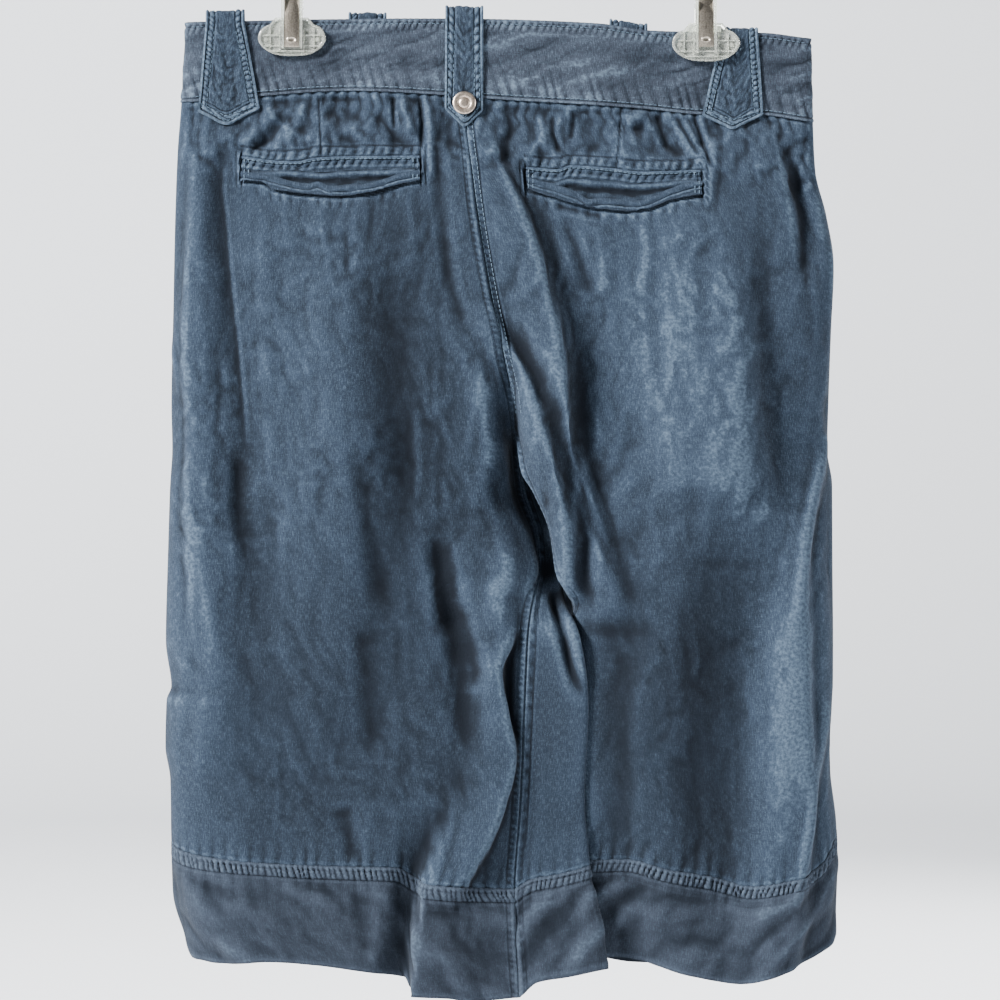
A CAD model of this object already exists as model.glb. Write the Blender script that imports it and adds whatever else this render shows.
"""Dresses the wide capri pants that hang by two clips from a hanger.

Tables are in millimetres and the model is built in metres. Across runs along +X, the back of
the garment faces -Y and +Z is up. Down is measured from the waistband's top edge, out from the
hanging plane towards the back. Left and right are as seen from the back.
"""
import math
from collections import namedtuple

import bmesh
import bpy
import numpy as np
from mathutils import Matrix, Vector
from mathutils.bvhtree import BVHTree


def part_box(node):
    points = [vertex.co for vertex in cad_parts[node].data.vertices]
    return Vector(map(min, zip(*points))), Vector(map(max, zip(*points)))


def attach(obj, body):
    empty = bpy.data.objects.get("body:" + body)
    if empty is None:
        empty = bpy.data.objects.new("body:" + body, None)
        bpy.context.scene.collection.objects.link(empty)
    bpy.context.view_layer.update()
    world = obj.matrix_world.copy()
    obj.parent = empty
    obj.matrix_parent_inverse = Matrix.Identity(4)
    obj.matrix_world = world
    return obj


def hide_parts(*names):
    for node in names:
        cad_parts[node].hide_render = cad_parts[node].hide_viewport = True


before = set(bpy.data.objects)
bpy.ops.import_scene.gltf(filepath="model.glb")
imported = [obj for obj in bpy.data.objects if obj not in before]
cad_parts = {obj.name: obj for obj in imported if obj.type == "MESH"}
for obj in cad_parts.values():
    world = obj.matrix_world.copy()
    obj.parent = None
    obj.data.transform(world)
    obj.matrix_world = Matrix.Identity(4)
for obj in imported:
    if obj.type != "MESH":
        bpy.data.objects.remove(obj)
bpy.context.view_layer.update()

bl_info = {
    "name": "Capri Pants on Clip Hanger",
    "version": (1, 0, 0),
    "blender": (4, 5, 0),
    "location": "View3D > Sidebar > Capri Pants",
    "description": "Builds washed linen denim capri pants hung from a hanger with two clips",
    "category": "Add Mesh",
}

MM = 0.001
LEFT, RIGHT = -1, 1
BACK, FRONT = "back", "front"
BODY = "root"
WAIST_BELOW_HOOK = 121.0
BAND_DEEP = 56.0
CROTCH_DOWN = 283.0
HEM_SEAM_DOWN = 597.0
HEM_EDGE_DOWN = 660.0
BAND_CLOTH = 2.2
CLIP_ACROSS = (-144.8, 146.0)
CLIP_HALF_GAP = 2.6
CLIP_DOWN = (2.0, 6.0)
CLIP_PRESS = (27.0, 78.0)
CLIP_FADE = (30.0, 105.0)


def named(kind, rows):
    """A table's rows, with their columns read by name."""
    return tuple(kind(*row) for row in rows)


# ---- the outline, side to side ----
Outline = namedtuple("Outline", "down left right")
OUTLINE = named(Outline, (
    (-10, -219.8, 219.8), (0, -219.8, 219.8), (56, -222.6, 221.4), (90, -225.2, 223),
    (125, -226.6, 231), (160, -227.5, 235.9), (215, -228.5, 234), (270, -229.6, 232.2),
    (300, -229, 231.4), (325, -230.4, 234.9), (380, -232.2, 235.2), (434, -233.5, 235.6),
    (469, -229.6, 235.4), (480, -233, 234.6), (520, -233.8, 233.2), (548, -230.3, 233.6),
    (597, -229.5, 238), (625, -228.5, 238.4), (662, -214, 236)))

# ---- how far the back and the front stand off the hanging plane ----
Depth = namedtuple("Depth", "down back front")
DEPTHS = named(Depth, (
    (-10, 6.5, 6.5), (0, 6.5, 6.5), (56, 11, 11), (110, 17, 16), (170, 23, 21),
    (240, 28, 26), (283, 30, 29), (340, 31, 31), (420, 32, 33),
    (520, 34, 36), (597, 36, 39), (662, 39, 42)))

# ---- the seat seam at the back (seat) and the front seam (rise), down to the crotch ----
Rise = namedtuple("Rise", "down seat seat_out rise rise_out")
RISES = named(Rise, (
    (-10, -24.2, 6.5, -6, -6.5), (0, -24, 6.5, -6, -6.5), (56, -23.8, 11, -5, -11),
    (110, -18.6, 17, -3, -16), (170, -9.8, 22.5, 0, -20), (230, 2, 25, 6, -17),
    (262, 9.6, 19.5, 10, -7), (283, 11.9, 8, 11.9, 8)))

# ---- each leg's inner side: the back's shoulder, the inner seam, the edge past the seam
# ---- where the front turns back, and the point under that edge
Inner = namedtuple(
    "Inner", "down shoulder shoulder_out seam seam_out edge edge_out under under_out")
INNER = {
    LEFT: named(Inner, (
        (-10, -56, 6.5, -24, 6.5, -18, -6.5, -55, -6.5),
        (0, -56, 6.5, -24, 6.5, -18, -6.5, -55, -6.5),
        (56, -55, 11, -24, 11, -17, -11, -52, -11), (110, -50, 17, -19, 17, -15, -16, -50, -16),
        (170, -42, 23, -10, 22.5, -12, -20.5, -46, -21),
        (230, -30, 28, 2, 25, -6, -22, -42, -26), (262, -16, 29, 10, 19.5, 2, -15, -34, -27),
        (283, -5, 26, 11.9, 8, 10.5, -1, -8, -20), (300, 2.5, 22, 13, -3, 22, -7, 9, -17),
        (330, 4, 19, 17, -7, 38, -9, 20, -19), (362, 19.5, 17, 26.5, -1, 45, -4, 27, -15),
        (386, 27, 21, 28, 6, 46, 2, 31, -10), (402, 19.5, 28, 24.5, 23.5, 45.5, 7.5, 32, -4),
        (412, 13, 29.5, 22.8, 26.5, 49, 15, 34, 2), (430, 6, 30, 21, 28, 56.5, 28, 38, 10),
        (480, 2, 30.5, 18.5, 28.5, 62.5, 27, 34, 12),
        (540, -2, 31.5, 15.5, 29.5, 60.5, 27, 22, 12),
        (600, -8, 33.5, 11.5, 31.5, 64, 29, 4, 12), (662, -8, 37.5, 15.4, 36, 78, 34, -10, 13))),
    RIGHT: named(Inner, (
        (-10, 8, 6.5, -24, 6.5, 8, -6.5, 45, -6.5), (0, 8, 6.5, -24, 6.5, 8, -6.5, 45, -6.5),
        (56, 8, 11, -24, 11, 8, -11, 45, -11), (110, 12, 17, -19, 17, 10, -16, 45, -16),
        (170, 20, 23, -10, 22.5, 13, -20.5, 46, -21), (230, 30, 28, 2, 25, 18, -22, 50, -26),
        (262, 29, 29, 10, 19.5, 18, -12, 44, -27), (283, 26, 28, 11.9, 8, 15.5, 2, 36, -20),
        (300, 28, 29.5, 14.6, 18, 17.5, 11, 35, -14), (316, 32, 30, 17, 22, 20, 16, 42, -10),
        (328, 38, 30, 26, 22, 29, 16, 52, -8), (362, 52, 29, 41, 22, 44, 16, 62, -8),
        (386, 56, 29, 43.5, 23, 46.5, 18, 64, -6), (400, 60, 28, 50, 24, 53, 3, 44, -14),
        (412, 64, 24, 55, 13, 55.5, 3, 45, -14), (430, 66, 14, 49, 1, 50, -4, 68, -18),
        (480, 70, 12, 38, -4, 38.5, -9, 60, -26), (540, 68, 10, 25, -6, 25.5, -11, 50, -29),
        (600, 74, 10, 12, -8, 12.5, -13, 38, -31), (662, 88, 12, 0, -8, 0.5, -13, 28, -34))),
}
SIDE_TURN, SIDE_TURN_DEEP = 8.0, 0.58
SIDE_FULL, SIDE_FULL_DEEP = 36.0, 0.93
BACK_SHARES = (0.38, 0.68)
FRONT_IN, FRONT_IN_DEEP, FRONT_SHARE = 34.0, 0.9, 0.36
LEGS_PART = 42.0

# ---- the waistband's two edges, measured down from the highest point of its top edge ----
Waist = namedtuple("Waist", "across top seam")
WAIST = named(Waist, (
    (-240, 0, 56), (-215, 0, 56), (-167, -1, 52), (-110, -2, 48.5),
    (-37, -2, 52), (-5, -1.6, 54.6), (70, 1.4, 59), (107, 6, 61.5), (141, 7, 64.8),
    (186, 7.6, 65.5), (220, 11.2, 69.7), (245, 11.2, 69.7)))

# ---- the hem seam and the hem's edge, along each panel from the inner seam to the side ----
Hem = namedtuple("Hem", "along seam edge")
HEMS = {
    (LEFT, BACK): named(Hem, (
        (0, 607, 681.5), (0.13, 605, 684), (0.18, 604, 681.5), (0.30, 600, 679),
        (0.36, 592, 668.5), (0.46, 591, 664), (0.60, 590, 658.7), (0.72, 588, 656.5),
        (0.86, 584, 658.7), (1, 576, 654))),
    (LEFT, FRONT): named(Hem, (
        (0, 607, 681.5), (0.03, 600, 671), (0.07, 597, 668), (0.17, 588.7, 661),
        (0.35, 594, 665), (0.55, 598, 668), (0.8, 590, 660), (1, 576, 654))),
    (RIGHT, BACK): named(Hem, (
        (0, 590, 656), (0.33, 587, 655), (0.45, 594, 661), (0.54, 598, 667.5),
        (0.66, 605, 672.5), (0.78, 600, 665), (0.88, 593, 654), (0.95, 577, 643),
        (1, 568, 632))),
    (RIGHT, FRONT): named(Hem, (
        (0, 590, 656), (0.3, 597, 663), (0.6, 603, 669), (0.85, 592, 655),
        (1, 568, 632))),
}

# ---- the largest folds: a ridge (or a trough, where the height is negative) along a line of
# ---- (down, across, height), with the width of its slope on either side and its crest's lean
Fold = namedtuple("Fold", "face leg left right lean line")
FOLDS = named(Fold, (
    (BACK, RIGHT, 22, 7, 5, ((196, -8, 0), (218, -1, 4), (250, 17, 8), (283, 27, 10),
     (316, 35, 11), (359, 46, 10), (392, 48, 7), (410, 50, 0))),
    (BACK, RIGHT, 9, 12, 0, ((206, 6, 0), (230, 18, -4), (260, 32, -6), (316, 48, -7),
     (359, 58, -7), (400, 62, -5), (430, 66, 0))),
    (BACK, RIGHT, 34, 8, 4, ((62, -12, 0), (95, -4, 4), (137, 15, 8), (192, 31, 10),
     (243, 42, 11), (290, 46, 10), (323, 51, 8), (356, 60, 5.5), (392, 76, 2.5), (440, 80, 0))),
    (BACK, RIGHT, 11, 30, 0, ((85, 10, 0), (137, 32, -3), (192, 47, -5), (243, 58, -8),
     (290, 62, -9), (345, 78, -7), (400, 92, -4), (470, 98, 0))),
    (BACK, RIGHT, 16, 26, 0, ((400, 62, 0), (450, 66, 9), (520, 68, 13), (590, 70, 13),
     (662, 78, 12))),
    (BACK, RIGHT, 30, 42, 0, ((410, 38, 0), (450, 40, 7), (520, 42, 10), (600, 45, 10),
     (662, 48, 10))),
    (BACK, RIGHT, 46, 14, 2, ((320, 206, 0), (370, 208, 6), (450, 209, 10), (540, 209, 12),
     (600, 208, 8), (662, 203, 4))),
    (BACK, LEFT, 20, 34, 0, ((80, -190, 0), (104, -194, -4), (143, -192, -5.5),
     (190, -188, -6), (269, -179, -6), (308, -176, -5), (388, -168, -3), (440, -164, 0))),
    (BACK, LEFT, 8, 26, 0, ((76, -208, 0), (112, -212, 3), (200, -214, 5), (300, -214, 5),
     (400, -212, 3), (450, -210, 0))),
    (BACK, LEFT, 58, 50, 5, ((120, -118, 0), (150, -115, 6), (200, -112, 11), (294, -109, 14),
     (340, -110, 13), (400, -112, 9), (470, -116, 5), (540, -120, 0))),
    (BACK, LEFT, 14, 14, 0, ((230, -22, 0), (262, -10, 3), (300, -8, 5), (322, -9, 3),
     (345, -12, 0))),
    (BACK, LEFT, 22, 14, 0, ((356, 2, 0), (385, 6, 4), (405, 2, 4), (432, -4, 0))),
    (BACK, LEFT, 12, 14, 0, ((345, -46, 0), (385, -38, -5), (420, -32, -6), (470, -24, -5),
     (520, -20, 0))),
    (BACK, LEFT, 34, 6, 4, ((405, 10, 0), (434, 7, 5), (455, -2, 9), (480, 2, 9), (510, 8, 7),
     (540, 0, 8), (563, -8, 9), (590, -22, 8), (612, -34, 0))),
    (BACK, LEFT, 7, 7, 0, ((426, 14, 0), (452, 8, -8), (476, 8, -8), (504, 14, 0))),
    (BACK, LEFT, 6, 58, -4, ((528, -30, 0), (560, -34, 4), (597, -48, 7), (630, -54, 9),
     (662, -57, 10))),
    (BACK, LEFT, 26, 5, 0, ((545, -41, 0), (590, -54, -8), (662, -65, -11))),
    (BACK, LEFT, 6, 7, 0, ((396, 38, 0), (412, 41, -7), (432, 45.5, -8), (455, 51, -6),
     (474, 58, 0))),
    (BACK, RIGHT, 62, 34, 0, ((345, 186, 0), (371, 191, -5), (414, 181, -10), (447, 172, -12),
     (490, 167, -12), (567, 159, -11), (600, 157, -11), (662, 154, -11))),
    (BACK, RIGHT, 40, 40, 0, ((330, 118, 0), (360, 114, 3), (420, 106, 4), (500, 102, 4),
     (590, 102, 4), (662, 104, 4))),
    (BACK, RIGHT, 78, 36, 5, ((100, 150, 0), (140, 152, 8), (200, 156, 16), (260, 158, 18),
     (310, 160, 15), (350, 164, 5), (380, 168, 0))),
    (BACK, RIGHT, 22, 9, 0, ((60, 190, 0), (86, 194, 2.5), (123, 203, 3), (170, 207, 2),
     (230, 210, 0))),
    (BACK, RIGHT, 9, 14, 0, ((66, 202, 0), (90, 206, -4), (130, 213, -5), (180, 216, 0))),
    (BACK, RIGHT, 9, 8, 0, ((276, 228, 0), (306, 226, 4), (340, 218, 5), (387, 210, 4),
     (434, 203, 0))),
    (BACK, RIGHT, 9, 8, 0, ((468, 230, 0), (504, 224, 4), (541, 217, 5), (600, 206, 4),
     (640, 200, 0))),
    (FRONT, LEFT, 26, 26, 0, ((80, -120, 0), (180, -118, 7), (330, -120, 9), (500, -128, 8),
     (662, -134, 9))),
    (FRONT, RIGHT, 26, 26, 0, ((80, 122, 0), (180, 120, 7), (330, 124, 9), (500, 130, 8),
     (662, 138, 10))),
    (FRONT, LEFT, 22, 24, 0, ((240, -66, 0), (330, -64, -6), (500, -74, -8), (662, -84, -9))),
    (FRONT, RIGHT, 22, 24, 0, ((200, 76, 0), (330, 78, -7), (500, 84, -8), (662, 92, -9))),
    (FRONT, LEFT, 16, 16, 0, ((360, -186, 0), (460, -184, -5), (662, -176, -7))),
    (FRONT, RIGHT, 16, 16, 0, ((330, 190, 0), (450, 188, -5), (662, 184, -7)))))
FOLD_FACING, CREASE_FACING = (0.05, 0.55), (0.05, 0.4)
FOLD_ROUND = {LEFT: 2.4, RIGHT: 0.3}
FOLD_REACH = 2.2
FOLD_GROWS = (283.0, 315.0)
TILT_END_DOWN = 330.0
WAVE_START_DOWN = 440.0
SEAM_HOLD = 9.0
SIDE_HOLD = 12.0
SEAM_HOLD_DOWN = (205.0, 248.0, 296.0, 330.0)

# ---- the creases laid over the folds: height, the slopes' widths to the left and right of a
# ---- line of (across, down) as one looks at it, and how sharp the crest is from 0 to 1
Crease = namedtuple("Crease", "height left right sharp line")
CREASES = {
    (BACK, LEFT): named(Crease, (
        (2.8, 26, 8, 0.3, ((-19.6, 91), (-15.4, 140), (-8.4, 196), (-1.4, 245), (2.8, 294))),
        (2.4, 14, 26, 0.5, ((-222.6, 294), (-211.4, 350), (-198.8, 434), (-204.4, 497),
         (-211.4, 546))),
        (-1.8, 8, 8, 0.4, ((-42, 77), (-40.6, 126), (-33.6, 182), (-22.4, 224))),
        (-1.4, 9, 4, 0.6, ((-189, 77), (-193.9, 101.5), (-194.6, 119), (-191.8, 143.5),
         (-187.6, 187.6), (-183.4, 224), (-179.2, 268.8), (-176.4, 308))),
        (-2.2, 10, 14, 0.3, ((-177.8, 294), (-181.3, 340.9), (-176.4, 367.5), (-173.6, 387.8))),
        (-2.5, 15, 17, 0.2, ((-99.4, 287), (-95.2, 312.9), (-87.5, 347.2), (-80.5, 407.4),
         (-79.8, 423.5))),
        (-2.4, 14, 18, 0.2, ((-91, 413), (-91.7, 438.2), (-87.5, 498.4), (-88.2, 518))),
        (-2.2, 11, 14, 0.3, ((-44.8, 361.2), (-37.1, 403.9), (-37.8, 434))),
        (-2.5, 12, 14, 0.3, ((-30.8, 406), (-21, 434), (-16.8, 469.7))),
        (-1.6, 12, 10, 0.3, ((-108.5, 546), (-103.6, 568.4), (-100.1, 589.4))),
        (0.7, 14, 8, 0.3, ((-9.1, 252), (-2.8, 283.5), (3.5, 315))),
        (-3, 8, 6, 0.5, ((-145.6, 63), (-159.6, 81.9), (-177.8, 92.4))),
        (2.7, 8, 8, 0.4, ((-155.4, 58.8), (-165.2, 73.5), (-182, 89.6))),
        (2.4, 7, 6, 0.4, ((-135.8, 54.6), (-140, 70), (-148.4, 89.6))),
        (-2.2, 9, 9, 0.3, ((-123.2, 63), (-107.1, 67.9), (-93.8, 65.8))),
        (-3.2, 6, 8, 0.6, ((-86.8, 61.6), (-72.1, 81.9), (-56, 93.1))),
        (2.4, 5, 5, 0.5, ((-67.9, 50.4), (-65.1, 64.4), (-60.9, 80.5))),
        (-2.2, 3, 3, 0.6, ((-73.5, 50.4), (-72.8, 75.6))),
        (-2.4, 3, 3, 0.6, ((-54.6, 50.4), (-53.2, 70), (-53.9, 93.1))),
        (2.2, 4, 5, 0.4, ((-49, 56), (-47.6, 91), (-46.2, 113.4))),
        (-0.9, 1.6, 1.6, 0.3, ((-126.7, 49), (-123.2, 100.1))),
        (0.8, 7, 9, 0.3, ((-165.2, 126), (-165.2, 196), (-161, 280))),
        (-1.5, 26, 30, 0.3, ((-32.2, 378), (-29.4, 448), (-32.2, 518), (-36.4, 574))),
        (-1.4, 9, 12, 0.4, ((-98.7, 605.5), (-94.5, 630), (-89.6, 654.5))))),
    (BACK, RIGHT): named(Crease, (
        (-0.9, 1.6, 1.6, 0.3, ((86.8, 58.8), (82.6, 108.5))),
        (-2.2, 9, 7, 0.4, ((79.8, 74.2), (106.4, 77))),
        (-3.2, 7, 6, 0.5, ((109.2, 61.6), (119, 85.4), (133, 96.6))),
        (3, 5, 5, 0.5, ((117.6, 61.6), (134.4, 91), (148.4, 107.8))),
        (2.2, 4, 4, 0.5, ((126.7, 63), (135.8, 80.5), (145.6, 100.8))),
        (-2.4, 3, 4, 0.6, ((137.2, 63), (143.5, 84), (150.5, 106.4))),
        (2.4, 6, 7, 0.4, ((151.2, 79.8), (149.1, 108.5), (145.6, 134.4))),
        (-2.2, 4, 4, 0.5, ((37.8, 64.4), (38.5, 79.1), (43.4, 94.5))),
        (-1.9, 4, 4, 0.5, ((53.2, 61.6), (51.1, 84))),
        (1.9, 6, 6, 0.4, ((28, 64.4), (33.6, 94.5))),
        (-1.8, 5, 7, 0.5, ((37.8, 129.5), (53.9, 133), (74.2, 137.9))),
        (2, 12, 4, 0.4, ((228.2, 84), (232.4, 126), (235.2, 168), (234.5, 210))),
        (2.6, 22, 45, 0.3, ((71.4, 364), (102.9, 333.9), (134.4, 317.8), (165.9, 324.8),
         (186.9, 350))),
        (-3.4, 20, 26, 0.4, ((53.9, 147), (71.4, 210), (85.4, 266), (100.8, 322), (106.4, 378))),
        (-1.8, 8, 8, 0.5, ((43.4, 136.5), (57.4, 168), (64.4, 196))),
        (1.6, 8, 10, 0.4, ((64.4, 136.5), (71.4, 154), (74.2, 196))),
        (1.4, 8, 8, 0.4, ((99.4, 136.5), (103.6, 161), (99.4, 196))),
        (1, 10, 5, 0.5, ((191.8, 68.6), (193.9, 86.1), (203, 123.2))),
        (-2.2, 5, 5, 0.6, ((211.4, 91), (219.8, 106.4), (228.9, 120.4))),
        (-1.5, 14, 14, 0.3, ((141.4, 147), (145.6, 196), (144.2, 252))),
        (-1.2, 10, 10, 0.3, ((106.4, 168), (109.9, 217), (113.4, 266))),
        (1.4, 20, 8, 0.5, ((225.4, 280), (226.8, 306.6), (219.8, 340.2), (211.4, 387.1),
         (204.4, 434), (202.3, 460.6))),
        (1.4, 14, 7, 0.5, ((233.1, 473.2), (224.7, 504), (218.4, 543.2), (214.9, 569.8),
         (206.5, 600.6))))),
    (FRONT, LEFT): named(Crease, (
        (1.6, 14, 10, 0.5, ((-138.6, 98), (-141.4, 196), (-145.6, 315))),
        (-1.8, 9, 12, 0.5, ((-54.6, 196), (-61.6, 266), (-65.8, 378))),
        (1.5, 12, 9, 0.5, ((-180.6, 252), (-177.8, 350), (-182, 448))),
        (-2, 10, 8, 0.6, ((-96.6, 350), (-103.6, 434), (-102.2, 532))))),
    (FRONT, RIGHT): named(Crease, (
        (1.6, 10, 14, 0.5, ((134.4, 105), (141.4, 210), (147, 322))),
        (-1.8, 10, 9, 0.5, ((71.4, 182), (75.6, 280), (71.4, 378))),
        (1.5, 9, 12, 0.5, ((190.4, 238), (186.2, 350), (191.8, 476))),
        (-2, 8, 10, 0.6, ((99.4, 364), (107.8, 448), (105, 546))))),
}

# ---- where the washed cloth is paler (or deeper, below nought) than the rest: the middle and
# ---- the reach of each soft patch, in millimetres, and how much
Fade = namedtuple("Fade", "across down wide tall amount")
FADES = {
    LEFT: named(Fade, (
        (-146, 231, 40, 120, 0.15), (-69, 266, 40, 150, -0.3), (-118, 490, 90, 90, -0.25),
        (-216, 441, 20, 90, 0.3), (-2, 391, 13, 22, 0.1))),
    RIGHT: named(Fade, (
        (113, 217, 56, 100, 0.52), (155, 301, 50, 50, 0.25), (120, 490, 55, 130, -0.45),
        (206, 476, 30, 130, 0.65), (173, 346, 22, 18, 0.3), (38, 518, 22, 110, 0.6))),
}
FRONT_FADE = 0.6
MOST_WEAR = 0.70

# ---- where the crumple of the leg panels grows and calms, and how much the front has ----
CRUMPLE_GROWS, CRUMPLE_CALMS, INNER_CALM = (70, 150), (340, 450), (10, 60)
FRONT_CRUMPLE = 0.6
YOKE_ENDS = (92, 118)
LADDER_STARTS, LADDER_END, LADDER_BEAT, LADDER_HIGH = (0.3, 1.8), 9.0, 3.9, 2.4
# ---- where each kind of piece starts its draws of unevenness ----
SEEDS = {"panel": 11, "seam": 71, "pocket": 90, "hem": 301, "band": 501, "streaks": 505,
         "front_band": 531, "loop": 600, "fly": 811}

# ---- how finely each kind of piece is cut: bands of rows as (from, to, spacing), and numbers of
# ---- columns, which a front has before its turned edge, round it, under it and beyond ----
PANEL_ROWS = {
    BACK: ((56, 84, 1.15), (84, 142, 1.25), (142, 572, 1.9), (572, 597, 1.25)),
    FRONT: ((56, 84, 2.0), (84, 572, 3.2), (572, 597, 2.0)),
}
HEM_ROWS = {BACK: ((597, 610, 0.85), (610, 660, 1.6)),
            FRONT: ((597, 610, 1.1), (610, 660, 2.6))}
BAND_ROWS = {BACK: ((0, 8, 0.9), (8, 42, 1.2), (42, 56, 0.9)),
             FRONT: ((0, 8, 1.1), (8, 42, 2.2), (42, 56, 1.1))}
PANEL_COLUMNS = {(LEFT, BACK): (190,), (RIGHT, BACK): (190,),
                 (LEFT, FRONT): (30, 16, 12, 74), (RIGHT, FRONT): (22, 8, 12, 78)}
HEM_COLUMNS = {(LEFT, BACK): (240,), (RIGHT, BACK): (240,),
               (LEFT, FRONT): (56, 18, 14, 110), (RIGHT, FRONT): (26, 8, 14, 120)}
BAND_COLUMNS = {(LEFT, BACK): (190,), (RIGHT, BACK): (235,),
                (LEFT, FRONT): (8, 5, 6, 110), (RIGHT, FRONT): (8, 5, 6, 112)}
# ---- points between two corners of a section, and the length that u is counted back from ----
SMOOTH_STEPS, WIDEST_CUT = 16, 400.0
# ---- shells: how coarse and how unworn the inner skin is, and the angles that stay sharp ----
LINING_SKIP, LINING_WEAR = 2, -0.3
CLOTH_SMOOTH, BUTTON_SMOOTH, HANGER_SMOOTH = 62.0, 50.0, 35.0
# ---- stitches: metres from which the cloth is felt, their beat and ends in shares of a stitch,
# ---- and their rings as (how far along, size, lift) ----
FEEL_FROM = 0.2
STITCH_BEAT, STITCH_ENDS, STITCH_CORNERS = 1.35, (0.12, 0.88), 5
STITCH_RINGS = ((0.0, 0.35, -0.25), (0.16, 1.0, 0.1), (0.84, 1.0, 0.1), (1.0, 0.35, -0.25))

# ---- each pocket's four lines of (across, down): the top edge, the upper welt's low edge, and
# ---- the lower welt's two edges
Pocket = namedtuple("Pocket", "side left right top upper_low lower_top low")
POCKETS = named(Pocket, (
    ("left", -179, -55,
     ((-179, 95.2), (-159, 98.2), (-142, 99), (-128, 96.6), (-104, 95.4), (-55, 95)),
     ((-179, 107), (-160, 106.6), (-142, 105.4), (-126, 106.8), (-100, 105), (-55, 104.6)),
     ((-179, 105.6), (-157, 109.6), (-147, 113), (-131, 115.6), (-126, 114), (-118, 117.4),
      (-100, 116.6), (-84, 113.6), (-70, 109), (-55, 105.4)),
     ((-179, 112.6), (-166, 114), (-156, 119.6), (-134, 123), (-114, 124.6), (-97, 123.4),
      (-72, 117), (-55, 113))),
    ("right", 20, 142,
     ((20, 102.6), (42, 104.6), (50, 102), (82, 104.2), (99, 106.4), (142, 104.8)),
     ((20, 112.6), (39, 114.4), (49, 110.6), (69, 112), (99, 114), (142, 112.2)),
     ((20, 110.6), (43, 116.6), (56, 121.6), (63, 126.4), (70, 125.4), (100, 127.2),
      (108, 124.8), (123, 118.4), (142, 113.4)),
     ((20, 119.4), (43, 126), (68, 132.2), (88, 134.8), (105, 133), (122, 127), (142, 123.6)))))

# ---- each belt loop: its top and its foot from left to right, the level of the foot's corners,
# ---- the tip, how far it rises over the band's top, and the beat of its puffs ----
Loop = namedtuple(
    "Loop", "name face top_left top_right low_left low_right low tip tip_across rise beat")
LOOPS = named(Loop, (
    ("left_back_loop", BACK, -205, -178.6, -210.6, -167.4, 61, 73.5, -191, 7.5, 3.6),
    ("centre_back_loop", BACK, -36.6, -10.6, -37, -10.9, 61.5, 75, -23.2, 8.5, 6.6),
    ("right_back_loop", BACK, 157.5, 182.5, 143.5, 186.2, 64.5, 76, 164.5, 3, 3.6),
    ("left_front_loop", FRONT, -105, -79, -107.5, -76.5, 60, 71, -92, 5, 3.8),
    ("right_front_loop", FRONT, 79, 105, 76.5, 107.5, 60, 71, 92, 5, 3.8)))
# ---- the tip's half width as a share of the loop, the rows up the band, and degrees over it ----
LOOP_POINT = 0.55
LOOP_RISE = (0.0, 0.06, 0.12, 0.2, 0.3, 0.4, 0.5, 0.6, 0.7, 0.8, 0.9, 1.0)
LOOP_TURNS = (22, 45, 67, 90, 112, 135, 158, 180)
LOOP_TOP_BELOW_EDGE = 1.0
LOOP_CELLS, LOOP_LIFT, LOOP_SLACK = 9, 0.7, 0.4
# ---- how far up its foot a loop's bar is, which is lower where the puffs are close-set ----
LOOP_BAR, CLOSE_LOOP_BAR, CLOSE_BEAT = 14.0, 9.5, 5
# ---- rows of stitches: how far from the waistband's edges, the seams and a trim's edges ----
BAND_STITCHES_REACH, BAND_TOP_INSET, BAND_LOW_INSET = 216, 3.3, 3.4
SEAM_STITCHES = {"seat": (1.7, 5.0), "rise": (1.7,)}
SEAM_STITCHES_FROM, SEAM_STITCHES_TO = 70, 276
POCKET_STITCHES = ((0, 1.4), (0, 4.4), (-1, -1.4), (-1, -4.4))
POCKET_STITCHES_DOWN, POCKET_STITCHES_END = 1.6, 1.2
LOOP_INSETS, LOOP_STITCHES_TOP, TRIM_STITCHES_LIFT = (2.2, 5.8), 6.0, 0.25
# ---- pockets: places along a mouth, and rows of the facing and the welts as shares ----
POCKET_CELLS = 45
POCKET_SEEDS = {"left": 700, "right": 710}
FACING_SHARES = (0.1, 0.4, 0.7, 1.0)
WELT_SHARES = (0, 0.34, 0.67, 1)
BUTTON_STEPS, BUTTON_FOOT = 72, 1.3

# ---- the button's rings, from its foot to the middle of its dome ----
Ring = namedtuple("Ring", "radius out")
BUTTON_RINGS = named(Ring, (
    (0.0, 0.2), (6.6, 0.2), (7.5, 0.45), (8.0, 0.9), (8.2, 1.4), (8.1, 1.8), (7.75, 2.15),
    (7.3, 2.3), (6.6, 2.34), (5.5, 2.3), (4.75, 2.22), (4.45, 2.02), (4.25, 1.7), (4.02, 1.58),
    (3.8, 1.66), (3.62, 1.98), (3.3, 2.25), (2.6, 2.42), (1.5, 2.52), (0.0, 2.55)))

# ---- the fly: its cut edge turns in towards the seam over the last share of its length ----
FLY_LEFT, FLY_TOP, FLY_LOW = -42.0, 63.0, 172.0
FLY_ROWS, FLY_CELLS, FLY_BEFORE_SEAM, FLY_END_WIDE, FLY_TURN = 15, 7, 3.0, 10.0, 0.72

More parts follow.
